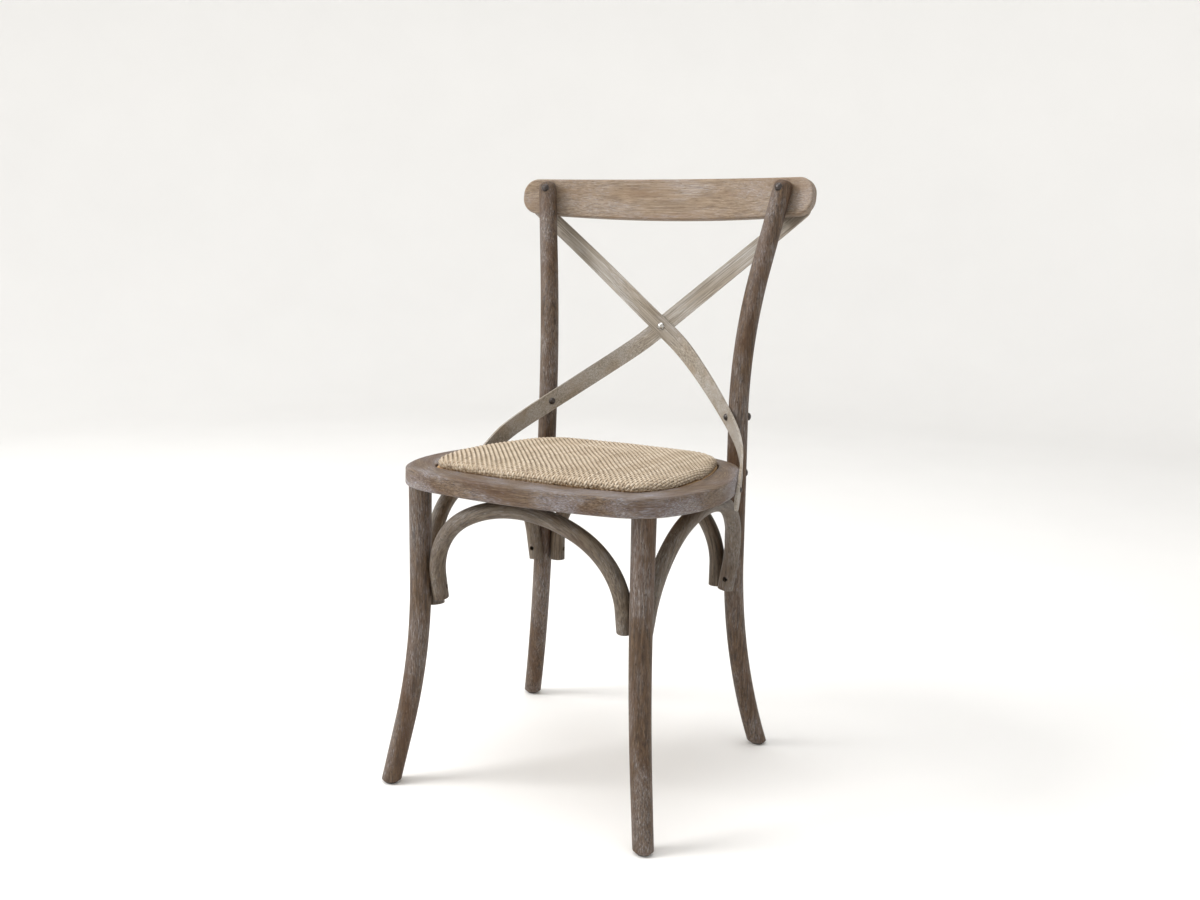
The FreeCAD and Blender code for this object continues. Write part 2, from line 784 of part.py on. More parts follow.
class Arch:
    """One hoop under the seat: its ends stand beside two legs, its crown under the rim."""

    def __init__(self, label, legs, end_height, rise, shoulder, lean):
        """legs holds each leg's centre and radius, and how far inwards the hoop's end stands.

        The shoulder's radius is a share of the bend's rise; lean tips the crown outwards.
        A leaning hoop comes nearest to its leg a little above its end.
        """
        self.label = label
        self.rise = rise
        self.shoulder = shoulder * rise
        self.legs = [flat(centre.x, centre.y) for centre, _, _ in legs]
        row = (self.legs[1] - self.legs[0]).normalize()
        inward = UP.cross(row)
        radius = size("arch_diameter") / 2
        ends = []
        for (_, leg_radius, inset), leg, sign in zip(legs, self.legs, (1, -1)):
            reach = leg_radius + size("arch_clearance") + radius
            touching = inset - math.tan(math.radians(lean)) * size("arch_touch_height")
            beside = math.sqrt(reach ** 2 - touching ** 2)
            ends.append(leg + row * (sign * beside) + inward * inset)
        self.half_span = (ends[1] - ends[0]).Length / 2
        self.along = (ends[1] - ends[0]).normalize()
        middle = (ends[0] + ends[1]) * 0.5 + Vector(0, 0, end_height)
        tip = Rotation(self.along, lean)
        turn = Rotation(UP, math.degrees(math.atan2(self.along.y, self.along.x)))
        self.place = Placement(middle, tip.multiply(turn))
        lift = self.place.Rotation.multVec(UP)
        crown_room = radius + size("arch_clearance")
        height = 0.0
        for _ in range(6):
            point = middle + lift * height
            height += (rim_underside(point) - crown_room - point.z) / lift.z
        slope = math.radians(size("seat_slope"))
        height -= 2 * self.half_span * (1 / math.cos(slope) - 1)
        self.end_drop = height - self.rise

    def end(self, side, above=0.0):
        """A point on the centre line of one straight end, above its cut."""
        return self.place.multVec(Vector(side * self.half_span, 0, above))

    def crown(self):
        return self.place.multVec(Vector(0, 0, self.end_drop + self.rise))

    def make(self):
        body = new_body(f"{self.label}_hoop", self.place)
        path = new_sketch(body, "XZ_Plane", "path",
                          Placement(Vector(0, self.end_drop, 0), NO_TURN))
        add_edges(path, basket_arch(self.half_span, self.rise, self.shoulder,
                                    self.end_drop))
        section = new_sketch(body, "XY_Plane", "section")
        add_circle(section, flat(-self.half_span, 0), "[arch_diameter] / 2",
                   size("arch_diameter") / 2)
        pipe = body.newObject("PartDesign::AdditivePipe", "Hoop")
        pipe.Profile = section
        pipe.Spine = (path, [])
        document.recompute()
        return body

    def leg_screw_places(self):
        """Where each end's screw head sits, pointing at the leg."""
        places = []
        for side, leg in ((LEFT, self.legs[0]), (RIGHT, self.legs[1])):
            point = self.end(side, size("arch_screw_inset"))
            towards = Vector(leg.x - point.x, leg.y - point.y, 0).normalize()
            radius = size("arch_diameter") / 2
            seat = point - towards * (radius - size("arch_recess_depth"))
            places.append(axis_place(seat, towards))
        return places

    def crown_screw_place(self):
        radius = size("arch_diameter") / 2
        seat = self.crown() - SEAT_NORMAL * (radius - size("arch_recess_depth"))
        return axis_place(seat, SEAT_NORMAL)


def make_arches():
    """The four hoops; each runs counter-clockwise as seen from above."""

    def front(side, inset):
        height = size("front_arch_end_height") + 2 * size("arch_screw_inset")
        return front_leg_place(side).Base, front_leg_radius(height), inset

    def rear(side, inset):
        centre = rear_leg_centre(side, size("rear_leg_lower_bend_start"))
        return centre, size("rear_leg_diameter") / 2, inset

    front_inset = size("front_arch_inset")
    side_front, side_rear = size("side_arch_front_inset"), size("side_arch_rear_inset")
    spans = {"front": (front(LEFT, front_inset), front(RIGHT, front_inset)),
             "rear": (rear(RIGHT, 0), rear(LEFT, 0)),
             "left": (rear(LEFT, side_rear), front(LEFT, side_front)),
             "right": (front(RIGHT, side_front), rear(RIGHT, side_rear))}
    made = []
    for name, legs in spans.items():
        kind = name if name in ("front", "rear") else "side"
        lean = 0 if kind == "rear" else size(f"{kind}_arch_lean")
        made.append(Arch(f"{name}_arch", legs, size(f"{kind}_arch_end_height"),
                         size(f"{kind}_arch_rise"), size(f"{kind}_arch_shoulder"), lean))
    return made


# Top rail

def rail_radius():
    """Radius of the rail's bowed middle line in plan."""
    half, bow = size("rail_half_length"), size("rail_bow")
    return (half ** 2 + bow ** 2) / (2 * bow)


def rail_drop(x, radius):
    """How far the bowed line lies in front of its apex."""
    return radius - math.sqrt(radius ** 2 - x ** 2)


def rail_place():
    """The rail's own frame: origin at the apex of its middle line, Y to the back, Z up it."""
    height = size("rail_height")
    post = rear_leg_centre(RIGHT, height)
    front_radius = rail_radius() - size("rail_thickness") / 2
    front = size("rail_thickness") / 2 + rail_drop(post.x, front_radius)
    back_of_post = size("rear_leg_top_diameter") / 2 - size("rail_seat_depth")
    lean = math.radians(size("rail_lean"))
    return Placement(Vector(0, post.y + (back_of_post + front) / math.cos(lean), height),
                     Rotation(ALONG_X, -size("rail_lean")))


def rail_plan(body, name, radius_inside, radius_outside, half_length, depth):
    """Sector between two bowed lines, drawn in plan below the rail's own frame."""
    centre = -rail_radius()
    sketch = new_sketch(body, "XY_Plane", name, Placement(Vector(0, 0, -depth), NO_TURN))

    def on(radius, x):
        return flat(x, centre + math.sqrt(radius ** 2 - x ** 2))

    inside = [on(radius_inside, x) for x in (-half_length, 0, half_length)]
    outside = [on(radius_outside, x) for x in (half_length, 0, -half_length)]
    add_edges(sketch, [arc(*inside), line(inside[2], outside[0]), arc(*outside),
                       line(outside[2], inside[0])])
    return sketch


def make_rail_blank():
    """The bowed board before its edges are shaped."""
    body = new_body("top_rail_blank", rail_place())
    half = size("rail_thickness") / 2
    depth = size("rail_end_height") / 2 + size("rail_bottom_belly")
    sketch = rail_plan(body, "plan", rail_radius() - half, rail_radius() + half,
                       size("rail_half_length"), depth)
    new_pad(body, sketch, "[rail_end_height] + [rail_bottom_belly] + [rail_top_crown]")
    half_length = size("rail_half_length")
    edge_top = size("rail_end_height") / 2
    for name, crown, sign in (("top_line", size("rail_top_crown"), 1),
                              ("bottom_line", size("rail_bottom_belly"), -1)):
        sketch = new_sketch(body, "XZ_Plane", name,
                            Placement(Vector(0, 0, CUT_LENGTH), NO_TURN))
        ends = [flat(x, sign * edge_top) for x in (-half_length, half_length)]
        corners = [flat(x, sign * (edge_top + CUT_LENGTH)) for x in (-half_length, half_length)]
        add_edges(sketch, [arc(ends[0], flat(0, sign * (edge_top + crown)), ends[1]),
                           line(ends[1], corners[1]), line(corners[1], corners[0]),
                           line(corners[0], ends[0])])
        new_pocket(body, sketch)
    new_fillet(body, "[rail_end_round]",
               lambda edge: crosses_thickness(edge)
               and abs(edge.CenterOfMass.x) > half_length - size("rail_arris"))
    new_fillet(body, "[rail_arris]", lambda edge: not crosses_thickness(edge))
    return body


def crosses_thickness(edge):
    """True for a short edge that runs from the rail's front face to its back face."""
    return edge.BoundBox.XLength < 0.5 and edge.BoundBox.ZLength < 0.5


def rail_back_point(x, z):
    """A point on the rail's back face, and the outward normal there."""
    radius = rail_radius() + size("rail_thickness") / 2
    y = math.sqrt(radius ** 2 - x ** 2) - rail_radius()
    normal = Vector(x, y + rail_radius(), 0).normalize()
    place = rail_place()
    return place.multVec(Vector(x, y, z)), place.Rotation.multVec(normal)


def make_post_seat_tool():
    """The bowed front of the rail, taller and deeper than it, that flats the leg tops."""
    body = new_body("rail_seat_tool", rail_place())
    inside = rail_radius() - size("rail_thickness") / 2
    sketch = rail_plan(body, "plan", inside, inside + 2 * CUT_LENGTH,
                       size("rail_half_length"), CUT_LENGTH)
    new_pad(body, sketch, f"{2 * CUT_LENGTH}")
    return body


# Cross straps

def strap_top_point(run):
    """A point on the rail's back face under the left strap end, and the outward normal."""
    rake = math.radians(size("strap_top_rake"))
    x = run * math.cos(rake) - size("strap_top_side")
    z = size("strap_top_height") - run * math.sin(rake)
    lean = math.radians(size("rail_lean"))
    return rail_back_point(x, (z - size("rail_height")) / math.cos(lean))


def strap_route(front):
    """(point, front normal) from the top end on the left to the end on the rim's right side."""
    half = size("strap_thickness") / 2
    gap = size("strap_clearance")
    route = []
    for run in (0, size("strap_top_run")):
        point, normal = strap_top_point(run)
        route.append((point + normal * (half + gap), normal * -1))
    cross = SEAT_LINE + Vector(0, size("strap_cross_back"), size("strap_cross_height"))
    forward = Vector(0, -1, 0)
    offset = (half + size("strap_cross_gap") / 2) * (1 if front else -1)
    upper = (route[-1][0] + cross) * 0.5 + Vector(0, size("strap_upper_belly"), 0)
    route.append((upper, (route[-1][1] + forward).normalize()))
    rake = math.radians(size("strap_cross_rake"))
    run = Vector(math.cos(rake), 0, -math.sin(rake)) * size("strap_cross_flat")
    for share in (-1, 0, 1):
        route.append((cross + run * share + forward * offset, forward))
    turn = math.radians(size("strap_post_turn"))
    post = rear_leg_centre(RIGHT, size("strap_post_height"))
    post_normal = Vector(-math.sin(turn), -math.cos(turn), 0)
    on_post = post + post_normal * (size("rear_leg_diameter") / 2 + half
                                    + size("strap_post_gap"))
    lower = (cross + on_post) * 0.5 + Vector(0, size("strap_lower_belly"), 0)
    route.append((lower, (forward + post_normal).normalize()))
    route.append((on_post, post_normal))
    rake = math.tan(math.radians(size("strap_rake")))
    rim = []
    for back in (size("strap_rim_length"), size("strap_rim_middle"), 0,
                 -size("strap_end_length")):
        x, outward = rim_outline().side(size("strap_screw_line") + back)
        place = SEAT_LINE + Vector(x, size("strap_screw_line") + back,
                                   size("strap_screw_height") + rake * back)
        rim.append((place + outward * (half + gap), outward * -1))
    wrap_normal = (post_normal + rim[0][1]).normalize()
    wrap = (on_post + rim[0][0]) * 0.5 - wrap_normal * size("strap_wrap_belly")
    route.append((wrap, wrap_normal))
    return route + rim


def make_strap(front):
    """A thin strip, rectangular across, along the route; it narrows from the crossing up."""
    route = strap_route(front)
    points = [point for point, _ in route]
    knots = [0.0]
    for start, end in zip(points, points[1:]):
        knots.append(knots[-1] + (end - start).Length)
    centre = Part.BSplineCurve()
    centre.interpolate(Points=points, Parameters=knots)
    half = size("strap_thickness") / 2
    narrowing = (size("strap_width") - size("strap_top_width")) / 2
    across = 1 if front else -1
    wires = []
    for number in range(STRAP_SECTIONS):
        at = knots[-1] * number / (STRAP_SECTIONS - 1)
        span = max(i for i, knot in enumerate(knots[:-1]) if knot <= at + 1e-9)
        share = (at - knots[span]) / (knots[span + 1] - knots[span])
        normal = route[span][1] * (1 - share) + route[span + 1][1] * share
        point = centre.value(at)
        tangent = centre.tangent(at)[0]
        normal = (normal - tangent * normal.dot(tangent)).normalize()
        width = tangent.cross(normal)
        above_cross = max(0.0, 1 - at / knots[CROSS_STATION])
        half_width = size("strap_width") / 2 - narrowing * above_cross
        corners = [point + width * (a * half_width) + normal * (b * half)
                   for a, b in ((1, 1), (-1, 1), (-1, -1), (1, -1))]
        corners = [mirror_x(corner, across) for corner in corners]
        wires.append(Part.makePolygon(corners + corners[:1]))
    strip = document.addObject("Part::Feature", "strip")
    strip.Shape = Part.makeLoft(wires, True, False)
    document.recompute()
    ends = [mirror_x(points[0], across), mirror_x(points[-1], across)]
    rounded = document.addObject("Part::Fillet", "strip_ends")
    rounded.Base = strip
    chosen = []
    for number, edge in enumerate(strip.Shape.Edges, start=1):
        near = min((edge.CenterOfMass - end).Length for end in ends)
        if edge.Length < 1.5 * size("strap_thickness") and near < size("strap_width"):
            chosen.append((number, size("strap_end_round"), size("strap_end_round")))
    rounded.Edges = chosen
    document.recompute()
    return rounded


# Fasteners, each turned about its own Z with its seat at the origin and its shank along +Z

def dome(diameter, height, base=0.0):
    """Edges of a domed head below its seat, from the axis to the rim."""
    radius = diameter / 2
    sphere = (radius ** 2 + height ** 2) / (2 * height)
    angle = math.asin(radius / sphere) / 2
    middle = flat(sphere * math.sin(angle), base - height + sphere * (1 - math.cos(angle)))
    return [arc(flat(0, base - height), middle, flat(radius, base))]


def headed(label, head_diameter, head_height, shank_diameter, length):
    head, shank = head_diameter / 2, shank_diameter / 2
    edges = dome(head_diameter, head_height)
    edges += [line(flat(head, 0), flat(shank, 0)), line(flat(shank, 0), flat(shank, length)),
              line(flat(shank, length), flat(0, length)),
              line(flat(0, length), flat(0, -head_height))]
    return turned_body(label, edges)


def ringed(label, outer_diameter, inner_diameter, height):
    outer, inner = outer_diameter / 2, inner_diameter / 2
    return turned_body(label, [line(flat(inner, 0), flat(outer, 0)),
                               line(flat(outer, 0), flat(outer, height)),
                               line(flat(outer, height), flat(inner, height)),
                               line(flat(inner, height), flat(inner, 0))])


def dome_nut(label, diameter, hole_diameter, height):
    """A cap nut whose seat is at the origin and whose dome points along -Z."""
    wall = size("nut_wall")
    outer, hole = diameter / 2, hole_diameter / 2
    shoulder = height / 2
    edges = dome(diameter, height - shoulder, -shoulder)
    edges += [line(flat(outer, -shoulder), flat(outer, 0)), line(flat(outer, 0), flat(hole, 0)),
              line(flat(hole, 0), flat(hole, wall - height)),
              line(flat(hole, wall - height), flat(0, wall - height)),
              line(flat(0, wall - height), flat(0, -height))]
    return turned_body(label, edges)


HOLE = "[{0}_diameter] / 2 + [bolt_hole_clearance]"


def hole(point, direction, fastener, length, start=-CUT_LENGTH):
    """A hole that clears a fastener's shank, from its seat along the direction."""
    direction = Vector(direction).normalize()
    return cylinder(point + direction * start, direction, HOLE.format(fastener),
                    length - start)


def spotface(point, direction, head):
    """A flat for a head, cut from outside down to the seat point."""
    direction = Vector(direction).normalize()
    return cylinder(point - direction * CUT_LENGTH, direction,
                    f"[{head}_diameter] / 2 + [spotface_clearance]", CUT_LENGTH)


# Build: blanks first, then the fasteners' places, then the holes

hoops = make_arches()
for hoop in hoops:
    hoop.body = hoop.make()

leg_sticks = {side: {"rear": make_rear_leg(side), "front": make_front_leg(side)}
              for side in (LEFT, RIGHT)}
rim_blank = make_rim_blank()
keep(make_board(), "seat_board")
keep(make_pad(), "seat_pad")
keep(make_weave(), "seat_weave")
rail_blank = make_rail_blank()
post_seat_tool = make_post_seat_tool()
straps = {True: make_strap(True), False: make_strap(False)}
slab = seat_slab()

# Rail bolts: from the front of each rear leg through the rail to a cap nut on a washer

rail_bolts, rail_washers, rail_nuts = [], [], []
rail_holes = []
post_tools = {LEFT: [], RIGHT: []}
top_radius = size("rear_leg_top_diameter") / 2
for side in (LEFT, RIGHT):
    centre = rear_leg_centre(side, size("rail_bolt_height"))
    local = rail_place().inverse().multVec(centre)
    back, normal = rail_back_point(local.x, local.z)
    head_seat = centre - normal * (top_radius - size("spotface_depth"))
    reach = (back - head_seat).dot(normal)
    rail_bolts.append(axis_place(head_seat, normal))
    rail_back = head_seat + normal * (reach + size("washer_gap"))
    rail_washers.append(axis_place(rail_back, normal))
    rail_nuts.append(axis_place(rail_back + normal * size("washer_thickness"), normal * -1))
    rail_holes.append(hole(head_seat, normal, "bolt", 2 * CUT_LENGTH))
    post_tools[side] += [hole(head_seat, normal, "bolt", CUT_LENGTH),
                         spotface(head_seat, normal, "bolt_head"), post_seat_tool]
rail_bolt_length = (reach + size("washer_thickness") + size("nut_height")
                    - size("nut_end_play"))
copies("rail_bolts", headed("rail_bolt", size("bolt_head_diameter"), size("bolt_head_height"),
                            size("bolt_diameter"), rail_bolt_length), rail_bolts)
copies("rail_washers", ringed("rail_washer", size("rail_washer_diameter"),
                              size("bolt_diameter") + 2 * size("bolt_hole_clearance"),
                              size("washer_thickness")), rail_washers)
copies("rail_nuts", dome_nut("rail_nut", size("nut_diameter"),
                             size("bolt_diameter") + 2 * size("bolt_hole_clearance"),
                             size("nut_height")), rail_nuts)
keep(cut(rail_blank, rail_holes, "rail_drilled"), "top_rail")

# Strap bolts in the rear legs, strap screws, and the rivet in the middle

strap_tools = {True: [], False: []}
strap_bolts, strap_nuts, rim_screws, rail_screws = [], [], [], []
screw_holes_in_rim, screw_holes_in_rail = [], []
mid_radius = size("rear_leg_diameter") / 2
strap_back = size("strap_thickness") + size("strap_clearance")
strap_front = size("strap_thickness") + size("strap_post_gap") + size("strap_head_gap")
for front in (True, False):
    side = RIGHT if front else LEFT
    turn = math.radians(size("strap_post_turn"))
    inward = mirror_x(Vector(math.sin(turn), math.cos(turn), 0), side)
    post = rear_leg_centre(side, size("strap_post_height"))
    head_seat = post - inward * (mid_radius + strap_front)
    nut_seat = post + inward * (mid_radius - size("spotface_depth"))
    strap_bolts.append(axis_place(head_seat, inward))
    strap_nuts.append(axis_place(nut_seat, inward * -1))
    strap_tools[front].append(hole(head_seat, inward, "strap_bolt", CUT_LENGTH / 2,
                                   -CUT_LENGTH / 6))
    post_tools[side] += [hole(head_seat, inward, "strap_bolt", CUT_LENGTH),
                         spotface(nut_seat, inward * -1, "nut")]
    x, outward = rim_outline().side(size("strap_screw_line"))
    on_rim = SEAT_LINE + Vector(x, size("strap_screw_line"), size("strap_screw_height"))
    seat = mirror_x(on_rim + outward * (strap_back + size("strap_screw_gap")), side)
    inward = mirror_x(outward, side) * -1
    rim_screws.append(axis_place(seat, inward))
    screw_holes_in_rim.append(hole(seat, inward, "small_screw", size("small_screw_length"),
                                   -1))
    strap_tools[front].append(hole(seat, inward, "small_screw", CUT_LENGTH / 6,
                                   -CUT_LENGTH / 6))
    point, normal = strap_top_point(size("rail_screw_inset"))
    point, normal = mirror_x(point, side), mirror_x(normal, side)
    seat = point + normal * (strap_back + size("strap_screw_gap"))
    rail_screws.append(axis_place(seat, normal * -1))
    screw_holes_in_rail.append(hole(seat, normal * -1, "small_screw",
                                    size("rail_screw_length"), -1))
    strap_tools[front].append(hole(seat, normal * -1, "small_screw", CUT_LENGTH / 6,
                                   -CUT_LENGTH / 6))

copies("strap_post_bolts",
       headed("strap_post_bolt", size("strap_bolt_head_diameter"),
              size("strap_bolt_head_height"), size("strap_bolt_diameter"),
              2 * mid_radius - size("spotface_depth") + strap_front
              + size("nut_height") - size("nut_end_play")), strap_bolts)
copies("strap_post_nuts",
       dome_nut("strap_post_nut", size("nut_diameter"),
                size("strap_bolt_diameter") + 2 * size("bolt_hole_clearance"),
                size("nut_height")), strap_nuts)
copies("strap_seat_screws",
       headed("strap_seat_screw", size("small_screw_head_diameter"),
              size("small_screw_head_height"), size("small_screw_diameter"),
              size("small_screw_length")), rim_screws)
copies("strap_rail_screws",
       headed("strap_rail_screw", size("small_screw_head_diameter"),
              size("small_screw_head_height"), size("small_screw_diameter"),
              size("rail_screw_length")), rail_screws)

backward = Vector(0, 1, 0)
stack = 2 * size("strap_thickness") + size("strap_cross_gap")
cross = SEAT_LINE + Vector(0, size("strap_cross_back"), size("strap_cross_height"))
rivet_seat = cross - backward * (stack / 2 + size("strap_clearance"))
rivet_hole = hole(rivet_seat, backward, "rivet", CUT_LENGTH, -CUT_LENGTH)
washer_seat = cross + backward * (stack / 2 + size("strap_clearance"))
rivet_back = stack + 2 * size("strap_clearance") + size("washer_thickness")
shank, tail = size("rivet_diameter") / 2, size("rivet_head_diameter") / 3
tail_end, tail_top = size("rivet_tail_end_diameter") / 2, rivet_back + size("rivet_tail_height")
rivet = turned_body("rivet", dome(size("rivet_head_diameter"), size("rivet_head_height"))
                    + [line(flat(size("rivet_head_diameter") / 2, 0), flat(shank, 0)),
                       line(flat(shank, 0), flat(shank, rivet_back)),
                       line(flat(shank, rivet_back), flat(tail, rivet_back)),
                       line(flat(tail, rivet_back), flat(tail_end, tail_top)),
                       line(flat(tail_end, tail_top), flat(0, tail_top)),
                       line(flat(0, tail_top), flat(0, -size("rivet_head_height")))])
copies("cross_rivet", rivet, [axis_place(rivet_seat, backward)])
copies("rivet_washer",
       ringed("rivet_washer_ring", size("rivet_washer_diameter"),
              size("rivet_diameter") + 2 * size("bolt_hole_clearance"),
              size("washer_thickness")), [axis_place(washer_seat, backward)])
for front, name in ((True, "cross_strap_front"), (False, "cross_strap_rear")):
    keep(cut(straps[front], strap_tools[front] + [rivet_hole], f"{name}_drilled"), name)
keep(cut(nodes["top_rail"], screw_holes_in_rail, "top_rail_finished"), "top_rail")

# Bolts that pull the rear legs into the rim's notches, and their threaded inserts

rim_tools = list(screw_holes_in_rim)
post_bolts, inserts = [], []
for side in (LEFT, RIGHT):
    turn = math.radians(size("post_bolt_turn"))
    inward = mirror_x(Vector(-math.sin(turn), -math.cos(turn), 0), side)
    post = rear_leg_centre(side, size("post_bolt_height"))
    head_seat = post - inward * (mid_radius - size("spotface_depth"))
    insert_seat = post + inward * (mid_radius + size("insert_depth"))
    post_bolts.append(axis_place(head_seat, inward))
    inserts.append(axis_place(insert_seat, inward))
    post_tools[side] += [hole(head_seat, inward, "post_bolt", CUT_LENGTH),
                         spotface(head_seat, inward, "post_bolt_head")]
    rim_tools += [hole(head_seat, inward, "post_bolt", 2 * mid_radius
                       + size("insert_depth") + size("insert_length") + 1, 0),
                  hole(insert_seat, inward, "insert", size("insert_length"), -4)]
    notch = cylinder(Vector(0, 0, 0), UP, "[rear_leg_diameter] / 2"
                     " + [rear_leg_socket_clearance]", 2 * CUT_LENGTH, "notch")
    notch.Placement = rear_leg_place(side).multiply(
        Placement(Vector(0, 0, size("seat_height") - CUT_LENGTH - size("rim_thickness")),
                  NO_TURN))
    rim_tools.append(notch)
post_bolt_length = (2 * mid_radius - size("spotface_depth") + size("insert_depth")
                    + size("insert_length"))
copies("post_seat_bolts", headed("post_seat_bolt", size("post_bolt_head_diameter"),
                                 size("post_bolt_head_height"), size("post_bolt_diameter"),
                                 post_bolt_length), post_bolts)
copies("post_seat_inserts", ringed("post_seat_insert", size("insert_diameter"),
                                   size("post_bolt_diameter")
                                   + 2 * size("bolt_hole_clearance"),
                                   size("insert_length")), inserts)

# Screws of the hoops, in the legs and in the rim

front_tools = {LEFT: [], RIGHT: []}
leg_screws, crown_screws = [], []
recess_radius = "[arch_screw_head_diameter] / 2 + [spotface_clearance]"
for hoop in hoops:
    hoop_tools = []
    for place in hoop.leg_screw_places():
        towards = place.Rotation.multVec(UP)
        leg_screws.append(place)
        hoop_tools += [hole(place.Base, towards, "arch_screw", CUT_LENGTH / 2, 0),
                       cylinder(place.Base - towards * CUT_LENGTH / 3, towards, recess_radius,
                                CUT_LENGTH / 3)]
        side = RIGHT if place.Base.x > 0 else LEFT
        tools = front_tools if place.Base.y < 0 else post_tools
        tools[side].append(hole(place.Base, towards, "arch_screw",
                                size("arch_screw_length") + size("hole_end_room"), 0))
    place = hoop.crown_screw_place()
    crown_screws.append(place)
    hoop_tools += [hole(place.Base, SEAT_NORMAL, "arch_screw", CUT_LENGTH, 0),
                   cylinder(place.Base - SEAT_NORMAL * CUT_LENGTH / 3, SEAT_NORMAL,
                            recess_radius, CUT_LENGTH / 3)]
    rim_tools.append(hole(place.Base, SEAT_NORMAL, "arch_screw",
                          size("arch_seat_screw_length") + size("hole_end_room"), 0))
    keep(cut(hoop.body, hoop_tools, f"{hoop.label}_drilled"), hoop.label)
copies("arch_leg_screws", headed("arch_leg_screw", size("arch_screw_head_diameter"),
                                 size("arch_screw_head_height"),
                                 size("arch_screw_diameter"), size("arch_screw_length")),
       leg_screws)
copies("arch_seat_screws", headed("arch_seat_screw", size("arch_screw_head_diameter"),
                                  size("arch_screw_head_height"),
                                  size("arch_screw_diameter"),
                                  size("arch_seat_screw_length")), crown_screws)

# Screws that hold the drop-in seat, from below through the ledge

board_screws, board_tools, weave_tools = [], [], []
inset = size("ledge_width") / 2 + size("board_screw_inset")
for y in (inset - size("rebate_front"), size("rebate_back") - inset):
    for side in (LEFT, RIGHT):
        point = SEAT.multVec(Vector(side * size("board_screw_side"), y,
                                    -size("rim_thickness")))
        board_screws.append(axis_place(point, SEAT_NORMAL))
        length = size("board_screw_length")
        for tools in (rim_tools, board_tools, weave_tools):
            tools.append(hole(point, SEAT_NORMAL, "small_screw",
                              length + size("hole_end_room"), -1))
copies("seat_board_screws", headed("seat_board_screw", size("small_screw_head_diameter"),
                                   size("small_screw_head_height"),
                                   size("small_screw_diameter"),
                                   size("board_screw_length")), board_screws)
keep(cut(nodes["seat_board"], board_tools, "seat_board_drilled"), "seat_board")
keep(cut(nodes["seat_weave"], weave_tools, "seat_weave_drilled"), "seat_weave")

# Foot glides: a round plate with a nail

glide_radius, glide_edge = size("glide_diameter") / 2, size("glide_height") / 2
nail = size("glide_nail_diameter") / 2
depth = size("glide_height")
glide = turned_body("foot_glide", [
    line(flat(0, -depth), flat(glide_radius - glide_edge, -depth)),
    arc(flat(glide_radius - glide_edge, -depth),
        flat(glide_radius - glide_edge * (1 - math.sqrt(0.5)),
             -depth + glide_edge * (1 - math.sqrt(0.5))),
        flat(glide_radius, glide_edge - depth)),
    line(flat(glide_radius, glide_edge - depth), flat(glide_radius, 0)),
    line(flat(glide_radius, 0), flat(nail, 0)),
    line(flat(nail, 0), flat(nail, size("glide_nail_length"))),
    line(flat(nail, size("glide_nail_length")), flat(0, size("glide_nail_length"))),
    line(flat(0, size("glide_nail_length")), flat(0, -depth))])
glides = []
for side in (LEFT, RIGHT):
    for centre, tools in ((front_leg_foot(side), front_tools), (rear_leg_centre(side, depth),
                                                               post_tools)):
        glides.append(axis_place(centre, UP))
        tools[side].append(hole(centre, UP, "glide_nail",
                                size("glide_nail_length") + size("hole_end_room"), -1))
copies("foot_glides", glide, glides)

# Legs and rim with everything cut

for side in (LEFT, RIGHT):
    stick = leg_sticks[side]["front"]
    level = cut(stick, [slab], "level_top")
    tenon = cylinder(tenon_foot(side), SEAT_NORMAL, "[front_leg_tenon_diameter] / 2",
                     size("front_leg_tenon_length"), "tenon")
    whole = fuse([level, tenon])
    name = f"front_leg_{SIDES[side]}"
    keep(cut(whole, front_tools[side], f"{name}_drilled"), name)
    name = f"rear_leg_{SIDES[side]}"
    keep(cut(leg_sticks[side]["rear"], post_tools[side], f"{name}_drilled"), name)
    rim_tools.append(cylinder(tenon_foot(side), SEAT_NORMAL,
                              "[front_leg_tenon_diameter] / 2 + [bolt_hole_clearance]",
                              size("front_leg_tenon_length") + size("hole_end_room"),
                              "tenon_hole"))
keep(cut(rim_blank, rim_tools, "seat_rim_drilled"), "seat_rim")

# Checks, then one file for each piece

document.recompute()
for thing in document.Objects:
    if "Invalid" in thing.State or "Error" in thing.State:
        raise RuntimeError(f"{thing.Label} failed: {thing.State}")
os.makedirs("parts", exist_ok=True)
for name, thing in nodes.items():
    shape = thing.Shape
    if shape.isNull() or not shape.isValid() or not shape.Solids:
        raise RuntimeError(f"{name} has no valid solid")
    shape.exportStep(f"parts/{name}.step")
    print(name, len(shape.Solids), round(shape.Volume / 1000, 2), "cm3")
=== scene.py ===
"""Looks of the cross back chair: weathered wood, woven rattan seat, steel fixings, studio.

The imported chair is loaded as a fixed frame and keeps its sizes. This file gives every piece its
finish, swells the seat's filling, weaves the rattan over it strip by strip, and sets up the
floor, the lights and the camera. Lengths are in metres.
"""

import json
import logging
import math
from collections.abc import Iterable
from dataclasses import dataclass, field
from enum import Enum

import bmesh
import bpy
import numpy as np
from mathutils import Matrix, Vector
from mathutils.bvhtree import BVHTree

